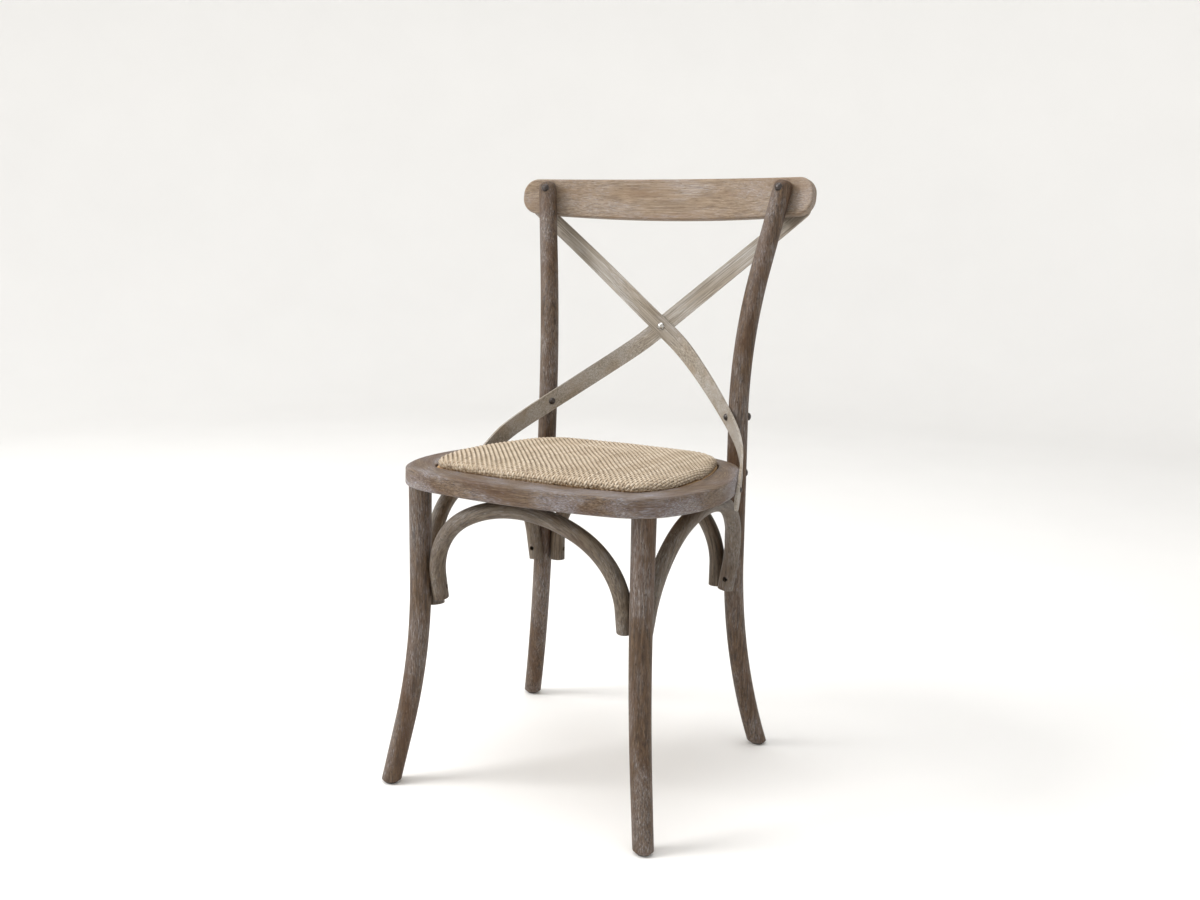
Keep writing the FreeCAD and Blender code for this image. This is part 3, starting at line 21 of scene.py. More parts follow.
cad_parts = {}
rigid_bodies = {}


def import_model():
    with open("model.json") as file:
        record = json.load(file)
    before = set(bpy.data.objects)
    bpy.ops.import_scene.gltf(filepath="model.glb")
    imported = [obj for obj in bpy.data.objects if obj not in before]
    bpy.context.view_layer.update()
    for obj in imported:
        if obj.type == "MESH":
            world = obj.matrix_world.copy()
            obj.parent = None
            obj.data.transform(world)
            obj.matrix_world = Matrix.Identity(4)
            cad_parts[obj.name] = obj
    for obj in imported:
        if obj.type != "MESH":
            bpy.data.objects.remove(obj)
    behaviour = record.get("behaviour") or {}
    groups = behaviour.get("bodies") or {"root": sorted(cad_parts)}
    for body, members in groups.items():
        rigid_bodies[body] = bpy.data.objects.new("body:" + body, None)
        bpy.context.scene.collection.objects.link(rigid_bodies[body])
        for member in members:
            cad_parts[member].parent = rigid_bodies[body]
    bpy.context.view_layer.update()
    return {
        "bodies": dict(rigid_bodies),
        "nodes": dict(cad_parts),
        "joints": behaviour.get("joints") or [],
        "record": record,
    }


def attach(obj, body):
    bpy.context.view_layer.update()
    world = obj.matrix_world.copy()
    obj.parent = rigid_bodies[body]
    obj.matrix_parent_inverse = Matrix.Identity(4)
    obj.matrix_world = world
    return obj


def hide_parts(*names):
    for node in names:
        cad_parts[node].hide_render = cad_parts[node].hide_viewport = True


LOG = logging.getLogger("cross_back_chair")
ONLY_BODY = "root"
SEAT_SLOPE = 2.26
SEED_STEP = 2.37

Colour = tuple[float, float, float]


def paint(red: int, green: int, blue: int) -> Colour:
    """A colour as a paint chart gives it, 0 to 255, made linear for the shaders."""
    return tuple(((c / 255 + 0.055) / 1.055) ** 2.4 if c > 10 else c / 255 / 12.92
                 for c in (red, green, blue))


class ShaderBench:
    """A material under construction, with one method for each kind of node in use."""

    def __init__(self, name: str) -> None:
        """Start an empty material.

        Args:
            name: The material's name.
        """
        self.material = bpy.data.materials.new(name)
        self.material.use_nodes = True
        self.tree = self.material.node_tree
        self.tree.nodes.clear()
        self.shader = self.tree.nodes.new("ShaderNodeBsdfPrincipled")
        output = self.tree.nodes.new("ShaderNodeOutputMaterial")
        self.tree.links.new(self.shader.outputs["BSDF"], output.inputs["Surface"])

    def add(self, kind: str, inputs: dict, **settings: object) -> bpy.types.Node:
        """Add a node, and link or set its inputs.

        Args:
            kind: The node's type name.
            inputs: Socket, by index or name, to another socket or a plain value.
            settings: The node's own properties.

        Returns:
            The new node.
        """
        node = self.tree.nodes.new(kind)
        for key, value in settings.items():
            setattr(node, key, value)
        for key, value in inputs.items():
            self.feed(node.inputs[key], value)
        return node

    def feed(self, socket: bpy.types.NodeSocket, value: object) -> None:
        """Link a socket to another one, or set its plain value."""
        if isinstance(value, bpy.types.NodeSocket):
            self.tree.links.new(value, socket)
        elif isinstance(value, tuple) and len(value) == 3 and socket.type == "RGBA":
            socket.default_value = (*value, 1.0)
        else:
            socket.default_value = value

    def calc(self, operation: str, *values: object, clamp: bool = False) -> bpy.types.NodeSocket:
        """One step of arithmetic on numbers."""
        node = self.add("ShaderNodeMath", dict(enumerate(values)), operation=operation,
                        use_clamp=clamp)
        return node.outputs[0]

    def place(self) -> bpy.types.NodeSocket:
        """The point on the piece, in the chair's own frame."""
        return self.add("ShaderNodeTexCoord", {}).outputs["Object"]

    def split(self, vector: bpy.types.NodeSocket) -> tuple:
        """The three numbers of a vector."""
        node = self.add("ShaderNodeSeparateXYZ", {0: vector})
        return tuple(node.outputs)

    def join(self, x: object, y: object, z: object) -> bpy.types.NodeSocket:
        """A vector of three numbers."""
        return self.add("ShaderNodeCombineXYZ", {0: x, 1: y, 2: z}).outputs[0]

    def stretch(self, vector: bpy.types.NodeSocket, scale: Colour,
                shift: Colour = (0.0, 0.0, 0.0)) -> bpy.types.NodeSocket:
        """Scale and shift a vector, so that a pattern runs long one way."""
        node = self.add("ShaderNodeMapping", {"Vector": vector, "Scale": scale,
                                              "Location": shift})
        return node.outputs[0]

    def noise(self, vector: bpy.types.NodeSocket, scale: float = 1.0, detail: float = 3.0,
              roughness: float = 0.55) -> bpy.types.NodeSocket:
        """Cloudy noise from 0 to 1."""
        node = self.add("ShaderNodeTexNoise", {"Vector": vector, "Scale": scale,
                                               "Detail": detail, "Roughness": roughness})
        return node.outputs[0]

    def step(self, value: object, low: float, high: float, start: float = 0.0,
             end: float = 1.0) -> bpy.types.NodeSocket:
        """A soft step from start to end as the value passes from low to high."""
        node = self.add("ShaderNodeMapRange", {0: value, 1: low, 2: high, 3: start, 4: end},
                        interpolation_type="SMOOTHSTEP")
        return node.outputs[0]

    def blend(self, share: object, first: object, second: object) -> bpy.types.NodeSocket:
        """Mix two colours by a share."""
        node = self.tree.nodes.new("ShaderNodeMix")
        node.data_type = "RGBA"
        for socket, value in ((node.inputs[0], share), (node.inputs[6], first),
                              (node.inputs[7], second)):
            self.feed(socket, value)
        return node.outputs[2]

    def bump(self, height: object, strength: float, depth: float) -> bpy.types.NodeSocket:
        """A surface relief of a real depth in metres."""
        node = self.add("ShaderNodeBump", {"Strength": strength, "Distance": depth,
                                           "Height": height})
        return node.outputs[0]

    def wear_and_highlight_edge_mask(self, radius: float) -> bpy.types.NodeSocket:
        """A mask that is 1 on sharp outer edges and 0 on open surfaces."""
        soft = self.add("ShaderNodeBevel", {"Radius": radius}, samples=4).outputs[0]
        true = self.add("ShaderNodeNewGeometry", {}).outputs["Normal"]
        facing = self.add("ShaderNodeVectorMath", {0: soft, 1: true},
                          operation="DOT_PRODUCT").outputs["Value"]
        return self.step(facing, 0.97, 0.80)

    def finish(self, **sockets: object) -> bpy.types.Material:
        """Set or link the shader's inputs and hand out the material."""
        for key, value in sockets.items():
            self.feed(self.shader.inputs[key.replace("_", " ")], value)
        return self.material


# Finishes


class Grain(Enum):
    """The way the wood's fibres run in a piece."""

    UPRIGHT = "upright"
    CROSSWISE = "crosswise"
    FALLING = "falling"
    RISING = "rising"
    RING = "ring"
    HOOP_ACROSS = "hoop across"
    HOOP_ALONG = "hoop along"


@dataclass(frozen=True)
class GrainMap:
    """Coordinates that follow a piece's fibres: along them, across them and into the wood."""

    grain: Grain
    centre: Colour = (0.0, 0.0, 0.0)
    reach: float = 0.15
    rake: float = 39.0

    def coordinates(self, bench: ShaderBench) -> bpy.types.NodeSocket:
        """Build the nodes.

        Args:
            bench: The material under construction.

        Returns:
            A vector socket: length along the fibres, then the two ways across.
        """
        x, y, z = bench.split(bench.stretch(bench.place(), (1.0, 1.0, 1.0),
                                            tuple(-c for c in self.centre)))
        if self.grain is Grain.UPRIGHT:
            return bench.join(z, x, y)
        if self.grain is Grain.CROSSWISE:
            return bench.join(x, z, y)
        if self.grain in (Grain.FALLING, Grain.RISING):
            sign = 1.0 if self.grain is Grain.FALLING else -1.0
            slope = math.radians(self.rake)
            side = bench.calc("MULTIPLY", x, sign)
            along = bench.calc("SUBTRACT", bench.calc("MULTIPLY", side, math.cos(slope)),
                               bench.calc("MULTIPLY", z, math.sin(slope)))
            across = bench.calc("ADD", bench.calc("MULTIPLY", side, math.sin(slope)),
                                bench.calc("MULTIPLY", z, math.cos(slope)))
            return bench.join(along, across, y)
        if self.grain is Grain.RING:
            angle = bench.calc("ARCTAN2", x, bench.calc("MULTIPLY", y, -1.0))
            return bench.join(bench.calc("MULTIPLY", angle, self.reach), z,
                              self.distance(bench, x, y))
        side, depth = (x, y) if self.grain is Grain.HOOP_ACROSS else (y, x)
        above = bench.calc("MAXIMUM", z, 0.0)
        below = bench.calc("MINIMUM", z, 0.0)
        turn = bench.calc("MULTIPLY", bench.calc("ARCTAN2", above, side), self.reach)
        straight = bench.calc("MULTIPLY", bench.calc("SIGN", side), below)
        return bench.join(bench.calc("ADD", turn, straight),
                          self.distance(bench, side, above), depth)

    @staticmethod
    def distance(bench: ShaderBench, a: object, b: object) -> bpy.types.NodeSocket:
        """The length of the two sides' diagonal."""
        squares = bench.calc("ADD", bench.calc("MULTIPLY", a, a), bench.calc("MULTIPLY", b, b))
        return bench.calc("SQRT", squares)


@dataclass(frozen=True)
class WoodFinish:
    """Weathered oak: brown under a white wash that has stayed in the grain."""

    name: str
    dark: Colour
    middle: Colour
    light: Colour
    wash: Colour
    wash_amount: float
    warm: Colour
    grain_width: float = 0.0032
    grain_length: float = 0.055
    # How much paler the sharp edges turn: partly real wear, partly a painted highlight.
    edge_wear_and_highlight: float = 0.35

    def material(self, piece: str, grain: GrainMap, seed: float) -> bpy.types.Material:
        """Make the finish for one piece.

        Args:
            piece: The piece's name, for the material's own.
            grain: How the fibres run.
            seed: A shift that gives each piece its own streaks.

        Returns:
            The material.
        """
        bench = ShaderBench(f"{self.name}_{piece}")
        along = grain.coordinates(bench)
        wide, long = 1 / self.grain_width, 1 / self.grain_length
        shift = (seed, seed * 1.7, seed * 0.6)
        streak = bench.noise(bench.stretch(along, (long, wide, wide), shift), 1.0, 5.0, 0.68)
        fibre = bench.noise(bench.stretch(along, (long * 3.5, wide * 1.9, wide * 1.9), shift),
                            1.0, 4.0, 0.7)
        cloud = bench.noise(bench.stretch(along, (long * 0.35, wide * 0.08, wide * 0.08),
                                          shift), 1.0, 3.0, 0.5)
        patch = bench.noise(bench.stretch(along, (9.0, 26.0, 26.0), (seed + 3.1, seed, 1.9)),
                            1.0, 4.0, 0.6)
        pore = bench.noise(bench.stretch(along, (long * 6.0, wide * 1.6, wide * 1.6),
                                         (1.3, seed, 4.7)), 1.0, 2.0, 0.5)
        colour = bench.blend(bench.step(streak, 0.30, 0.56), self.dark, self.middle)
        colour = bench.blend(bench.step(streak, 0.50, 0.74), colour, self.light)
        colour = bench.blend(bench.step(cloud, 0.42, 0.72, 0.0, 0.65), colour, self.warm)
        washed = bench.calc("MULTIPLY", bench.step(patch, 0.40, 0.66),
                            bench.step(fibre, 0.42, 0.66, 0.25, 1.0))
        washed = bench.calc("MULTIPLY", washed, self.wash_amount, clamp=True)
        colour = bench.blend(washed, colour, self.wash)
        fleck = bench.calc("MULTIPLY", bench.step(fibre, 0.57, 0.66),
                           bench.step(patch, 0.48, 0.64, 0.12, self.wash_amount))
        colour = bench.blend(fleck, colour, self.wash)
        pores = bench.step(pore, 0.60, 0.70, 0.0, 0.75)
        colour = bench.blend(pores, colour, self.dark)
        # Paler wood along the sharp edges: partly real wear, partly a painted highlight on the
        # arrises.
        edge = bench.calc("MULTIPLY", bench.wear_and_highlight_edge_mask(0.0025),
                          bench.step(fibre, 0.35, 0.65, 0.3, 1.0))
        colour = bench.blend(bench.calc("MULTIPLY", edge, self.edge_wear_and_highlight), colour, self.light)
        height = bench.calc("SUBTRACT", bench.calc("ADD", fibre, streak),
                            bench.calc("MULTIPLY", pores, 0.8))
        rough = bench.step(washed, 0.0, 1.0, 0.56, 0.80)
        return bench.finish(Base_Color=colour, Roughness=rough,
                            Normal=bench.bump(height, 0.45, 0.0006), Specular_IOR_Level=0.35)


@dataclass(frozen=True)
class PlyFinish:
    """Raw plywood: pale layers on the edge, calm face grain."""

    face: Colour = paint(206, 176, 134)
    layer: Colour = paint(160, 122, 82)
    layer_height: float = 0.0016

    def material(self) -> bpy.types.Material:
        """Make the finish.

        Returns:
            The material.
        """
        bench = ShaderBench("raw_plywood")
        place = bench.place()
        _, y, z = bench.split(place)
        slope = math.tan(math.radians(SEAT_SLOPE))
        level = bench.calc("ADD", z, bench.calc("MULTIPLY", y, slope))
        band = bench.calc("PINGPONG", level, self.layer_height)
        band = bench.step(band, self.layer_height * 0.35, self.layer_height * 0.65)
        streak = bench.noise(bench.stretch(place, (18.0, 260.0, 40.0)), 1.0, 4.0)
        colour = bench.blend(bench.step(streak, 0.35, 0.7), self.face, self.layer)
        colour = bench.blend(bench.calc("MULTIPLY", band, 0.5), colour, self.layer)
        return bench.finish(Base_Color=colour, Roughness=0.75,
                            Normal=bench.bump(streak, 0.3, 0.0004))


@dataclass(frozen=True)
class SteelFinish:
    """Steel: blackened and a little rusty, or bright and brushed."""

    name: str
    base: Colour
    stain: Colour
    stain_amount: float
    rough_low: float
    rough_high: float
    metallic: float

    def material(self) -> bpy.types.Material:
        """Make the finish.

        Returns:
            The material.
        """
        bench = ShaderBench(self.name)
        place = bench.place()
        spots = bench.noise(place, 420.0, 4.0, 0.65)
        scratch = bench.noise(bench.stretch(place, (2600.0, 300.0, 900.0)), 1.0, 2.0)
        colour = bench.blend(bench.step(spots, 0.48, 0.68, 0.0, self.stain_amount), self.base,
                             self.stain)
        edge = bench.wear_and_highlight_edge_mask(0.0006)
        colour = bench.blend(bench.calc("MULTIPLY", edge, 0.4), colour, paint(190, 186, 178))
        rough = bench.step(spots, 0.35, 0.7, self.rough_low, self.rough_high)
        height = bench.calc("ADD", spots, bench.calc("MULTIPLY", scratch, 0.4))
        return bench.finish(Base_Color=colour, Metallic=self.metallic, Roughness=rough,
                            Normal=bench.bump(height, 0.25, 0.0002))


@dataclass(frozen=True)
class NylonFinish:
    """Dark moulded nylon, scuffed by the floor."""

    base: Colour = paint(46, 41, 37)
    scuff: Colour = paint(112, 104, 96)

    def material(self) -> bpy.types.Material:
        """Make the finish.

        Returns:
            The material.
        """
        bench = ShaderBench("glide_nylon")
        grit = bench.noise(bench.place(), 900.0, 4.0, 0.6)
        colour = bench.blend(bench.step(grit, 0.5, 0.72, 0.0, 0.6), self.base, self.scuff)
        return bench.finish(Base_Color=colour, Roughness=bench.step(grit, 0.3, 0.7, 0.4, 0.7),
                            Normal=bench.bump(grit, 0.3, 0.0002))


@dataclass(frozen=True)
class RattanFinish:
    """Peeled rattan strips: pale straw with darker joints and a soft sheen."""

    name: str = "rattan_strips_pale"
    pale: Colour = paint(198, 183, 162)
    straw: Colour = paint(168, 150, 126)
    brown: Colour = paint(108, 86, 64)

    def material(self) -> bpy.types.Material:
        """Make the finish; each strip's own tint comes with its mesh.

        Returns:
            The material.
        """
        bench = ShaderBench(self.name)
        tint = bench.add("ShaderNodeAttribute", {}, attribute_name="strip_tint").outputs["Fac"]
        run = bench.add("ShaderNodeAttribute", {}, attribute_name="strip_run").outputs["Fac"]
        place = bench.place()
        fibre = bench.noise(bench.stretch(place, (700.0, 700.0, 700.0)), 1.0, 3.0, 0.6)
        joint = bench.noise(bench.join(bench.calc("MULTIPLY", run, 26.0),
                                       bench.calc("MULTIPLY", tint, 57.0), 0.0), 1.0, 2.0)
        cloud = bench.noise(place, 16.0, 3.0, 0.5)
        colour = bench.blend(tint, self.straw, self.pale)
        colour = bench.blend(bench.step(cloud, 0.40, 0.70, 0.0, 0.5), colour, self.pale)
        colour = bench.blend(bench.step(joint, 0.58, 0.74, 0.0, 0.7), colour, self.brown)
        colour = bench.blend(bench.step(fibre, 0.45, 0.75, 0.0, 0.3), colour, self.brown)
        return bench.finish(Base_Color=colour, Roughness=bench.step(fibre, 0.3, 0.7, 0.42, 0.6),
                            Normal=bench.bump(fibre, 0.3, 0.0002))


@dataclass(frozen=True)
class FillingAndGapShadeFinish:
    """The coarse lining, coloured dark where it shows between the strips: painted shade in the
    gaps of the weave.
    """

    base: Colour = paint(104, 82, 60)
    shade: Colour = paint(52, 40, 30)

    def material(self) -> bpy.types.Material:
        """Make the finish.

        Returns:
            The material.
        """
        bench = ShaderBench("seat_lining_painted_gap_shade")
        place = bench.place()
        felt = bench.noise(place, 260.0, 5.0, 0.65)
        yarn = bench.noise(bench.stretch(place, (1500.0, 260.0, 260.0)), 1.0, 2.0)
        # Both colours are dark as painted shade in the gaps between the strips; the felt pattern
        # is the lining's own.
        colour = bench.blend(bench.step(felt, 0.35, 0.65), self.shade, self.base)
        height = bench.calc("ADD", felt, yarn)
        return bench.finish(Base_Color=colour, Roughness=0.9,
                            Normal=bench.bump(height, 0.5, 0.0006), Sheen_Weight=0.2)


LEG_WOOD = WoodFinish("leg_wood", dark=paint(42, 30, 20), middle=paint(80, 60, 41),
                      light=paint(106, 86, 64), wash=paint(166, 164, 164), wash_amount=0.36,
                      warm=paint(76, 52, 32), grain_width=0.0026, grain_length=0.04)
HOOP_WOOD = WoodFinish("hoop_wood", dark=paint(54, 44, 34), middle=paint(92, 79, 64),
                       light=paint(120, 108, 92), wash=paint(162, 160, 158),
                       wash_amount=0.3, warm=paint(80, 62, 45), grain_width=0.0024)
RIM_WOOD = WoodFinish("rim_wood", dark=paint(56, 41, 28), middle=paint(98, 79, 60),
                      light=paint(128, 111, 92), wash=paint(172, 174, 184),
                      wash_amount=0.55, warm=paint(76, 51, 31), grain_width=0.0018,
                      grain_length=0.030)
RAIL_WOOD = WoodFinish("rail_wood", dark=paint(98, 80, 62), middle=paint(130, 111, 90),
                       light=paint(153, 137, 117), wash=paint(174, 175, 180),
                       wash_amount=0.36, warm=paint(122, 98, 74), grain_width=0.0018,
                       grain_length=0.06)
STRAP_WOOD = WoodFinish("strap_wood", dark=paint(94, 83, 70), middle=paint(142, 132, 118),
                        light=paint(174, 167, 156), wash=paint(198, 198, 198),
                        wash_amount=0.5, warm=paint(136, 120, 100), grain_width=0.0016,
                        grain_length=0.30, edge_wear_and_highlight=0.7)
DARK_STEEL = SteelFinish("dark_steel", base=paint(74, 70, 68), stain=paint(70, 50, 38),
                         stain_amount=0.7, rough_low=0.34, rough_high=0.6, metallic=0.85)
BRIGHT_STEEL = SteelFinish("bright_steel", base=paint(196, 194, 190),
                           stain=paint(130, 124, 116), stain_amount=0.4, rough_low=0.2,
                           rough_high=0.38, metallic=1.0)


# The chair's wooden and metal pieces, which keep the frame's meshes


@dataclass
class WoodenFrame:
    """Legs, hoops, rim, rail and straps, each finished along its own fibres."""

    nodes: dict
    rim_centre: Colour = (0.0, -0.03, 0.45)
    front_hoop_spring: float = 0.298
    rear_hoop_spring: float = 0.291
    side_hoop_spring: float = 0.298
    side_hoop_middle: float = -0.0255

    def grain_maps(self) -> dict[str, tuple[WoodFinish, GrainMap]]:
        """Which finish and which run of fibres each wooden piece has.

        Returns:
            The finish and the grain by the piece's name.
        """
        side = GrainMap(Grain.HOOP_ALONG, (0.0, self.side_hoop_middle, self.side_hoop_spring))
        upright = GrainMap(Grain.UPRIGHT)
        return {
            "front_leg_left": (LEG_WOOD, upright),
            "front_leg_right": (LEG_WOOD, upright),
            "rear_leg_left": (LEG_WOOD, upright),
            "rear_leg_right": (LEG_WOOD, upright),
            "front_arch": (HOOP_WOOD, GrainMap(Grain.HOOP_ACROSS,
                                               (0.0, 0.0, self.front_hoop_spring))),
            "rear_arch": (HOOP_WOOD, GrainMap(Grain.HOOP_ACROSS,
                                              (0.0, 0.0, self.rear_hoop_spring))),
            "left_arch": (HOOP_WOOD, side),
            "right_arch": (HOOP_WOOD, side),
            "seat_rim": (RIM_WOOD, GrainMap(Grain.RING, self.rim_centre, reach=0.2)),
            "top_rail": (RAIL_WOOD, GrainMap(Grain.CROSSWISE)),
            "cross_strap_front": (STRAP_WOOD, GrainMap(Grain.FALLING)),
            "cross_strap_rear": (STRAP_WOOD, GrainMap(Grain.RISING)),
        }

    def dress(self) -> None:
        """Give each wooden piece its material."""
        for seed, (name, (finish, grain)) in enumerate(self.grain_maps().items()):
            material = finish.material(name, grain, SEED_STEP * seed)
            put_on(self.nodes[name], material)
            LOG.info("%s: %s, fibres %s", name, finish.name, grain.grain.value)


@dataclass
class Fixings:
    """Bolts, nuts, screws, rivet, inserts, glides and the seat's board."""

    nodes: dict
    dark: tuple[str, ...] = ("rail_bolts", "rail_washers", "rail_nuts", "strap_post_bolts",
                             "strap_post_nuts", "strap_seat_screws", "strap_rail_screws",
                             "post_seat_bolts", "arch_leg_screws", "arch_seat_screws")
    bright: tuple[str, ...] = ("cross_rivet", "rivet_washer", "post_seat_inserts",
                               "seat_board_screws")

    def dress(self) -> None:
        """Give each fixing its material."""
        for names, material in ((self.dark, DARK_STEEL.material()),
                                (self.bright, BRIGHT_STEEL.material()),
                                (("foot_glides",), NylonFinish().material()),
                                (("seat_board",), PlyFinish().material())):
            for name in names:
                put_on(self.nodes[name], material)
                LOG.info("%s: %s", name, material.name)


def put_on(piece: bpy.types.Object, material: bpy.types.Material) -> None:
    """Give a piece one material in place of what it had."""
    piece.data.materials.clear()
    piece.data.materials.append(material)


# The woven seat


@dataclass
class SeatPlane:
    """The rim's top plane, in which the drop-in seat is laid out."""

    forward: float = 0.038
    height: float = 0.462
    slope: float = SEAT_SLOPE

    @property
    def matrix(self) -> Matrix:
        """From the plane's own frame to the chair's."""
        return (Matrix.Translation((0.0, -self.forward, self.height))
                @ Matrix.Rotation(-math.radians(self.slope), 4, "X"))


@dataclass
class SeatCushion:
    """The filling: the frame's pad, swollen as a stuffed piece and flat on its board."""

    nodes: dict
    plane: SeatPlane
    voxel: float = 0.005
    shrink: float = 0.0012
    pressure: float = 4.0
    last_frame: int = 20
    most_swell: float = 0.0025

    def build(self) -> bpy.types.Object:
        """Make the cushion.

        Returns:
            The finished piece.
        """
        mesh = self.nodes["seat_pad"].data.copy()
        piece = bpy.data.objects.new("seat_cushion", mesh)
        bpy.context.scene.collection.objects.link(piece)
        shape = bmesh.new()
        shape.from_mesh(mesh)
        bmesh.ops.remove_doubles(shape, verts=shape.verts, dist=1e-5)
        bmesh.ops.recalc_face_normals(shape, faces=shape.faces)
        shape.to_mesh(mesh)
        shape.free()
        remesh = piece.modifiers.new("voxels", "REMESH")
        remesh.mode = "VOXEL"
        remesh.voxel_size = self.voxel
        piece = self.applied(piece)
        self.draw_in(piece)
        self.swell(piece)
        self.smooth(piece)
        put_on(piece, FillingAndGapShadeFinish().material())
        return piece

    def applied(self, piece: bpy.types.Object) -> bpy.types.Object:
        """Turn a piece with its modifiers into a plain mesh.

        Args:
            piece: The piece with its modifiers.

        Returns:
            The same object with the finished mesh.
        """
        depsgraph = bpy.context.evaluated_depsgraph_get()
        mesh = bpy.data.meshes.new_from_object(piece.evaluated_get(depsgraph))
        piece.modifiers.clear()
        piece.data = mesh
        return piece

    def draw_in(self, piece: bpy.types.Object) -> None:
        """Shrink the shape a little along its normals, to leave room for the swelling."""
        points = coordinates(piece.data)
        normals = np.zeros_like(points)
        piece.data.vertex_normals.foreach_get("vector", normals.ravel())
        set_coordinates(piece.data, points - normals * self.shrink)

    def swell(self, piece: bpy.types.Object) -> None:
        """Blow the pad up with cloth, hold each point near its start and keep the base flat."""
        start = coordinates(piece.data)
        cloth = piece.modifiers.new("swelling", "CLOTH")
        cloth.settings.use_pressure = True
        cloth.settings.uniform_pressure_force = self.pressure
        cloth.settings.effector_weights.gravity = 0.0
        cloth.settings.tension_stiffness = 15.0
        cloth.settings.compression_stiffness = 15.0
        cloth.point_cache.frame_start = 1
        cloth.point_cache.frame_end = self.last_frame
        for frame in range(1, self.last_frame + 1):
            bpy.context.scene.frame_set(frame)
        depsgraph = bpy.context.evaluated_depsgraph_get()
        swollen = coordinates(piece.evaluated_get(depsgraph).data)
        piece.modifiers.clear()
        bpy.context.scene.frame_set(1)
        move = swollen - start
        length = np.linalg.norm(move, axis=1, keepdims=True)
        move *= np.minimum(1.0, self.most_swell / np.maximum(length, 1e-9))
        set_coordinates(piece.data, self.rested(start, start + move))

    def rested(self, start: np.ndarray, points: np.ndarray) -> np.ndarray:
        """Keep points above the board and inside the room that the pad had.

        Args:
            start: The pad before the swelling, in the chair's frame.
            points: The pad after it.

        Returns:
            The points after the board and the rim have held them back.
        """
        plane = np.array(self.plane.matrix)
        inverse = np.linalg.inv(plane)
        local = points @ inverse[:3, :3].T + inverse[:3, 3]
        first = start @ inverse[:3, :3].T + inverse[:3, 3]
        local[:, 2] = np.maximum(local[:, 2], first[:, 2].min())
        reach = np.linalg.norm(local[:, :2], axis=1)
        room = np.linalg.norm(first[:, :2], axis=1) + self.shrink
        local[:, :2] *= np.minimum(1.0, room / np.maximum(reach, 1e-9))[:, None]
        return local @ plane[:3, :3].T + plane[:3, 3]

    def smooth(self, piece: bpy.types.Object) -> None:
        """Ease the voxel steps out of the crown and add one subdivision."""
        ease = piece.modifiers.new("ease", "SMOOTH")
        ease.factor = 0.5
        ease.iterations = 6
        finer = piece.modifiers.new("finer", "SUBSURF")
        finer.levels = 1
        finer.render_levels = 1
        self.applied(piece)
        piece.data.shade_smooth()


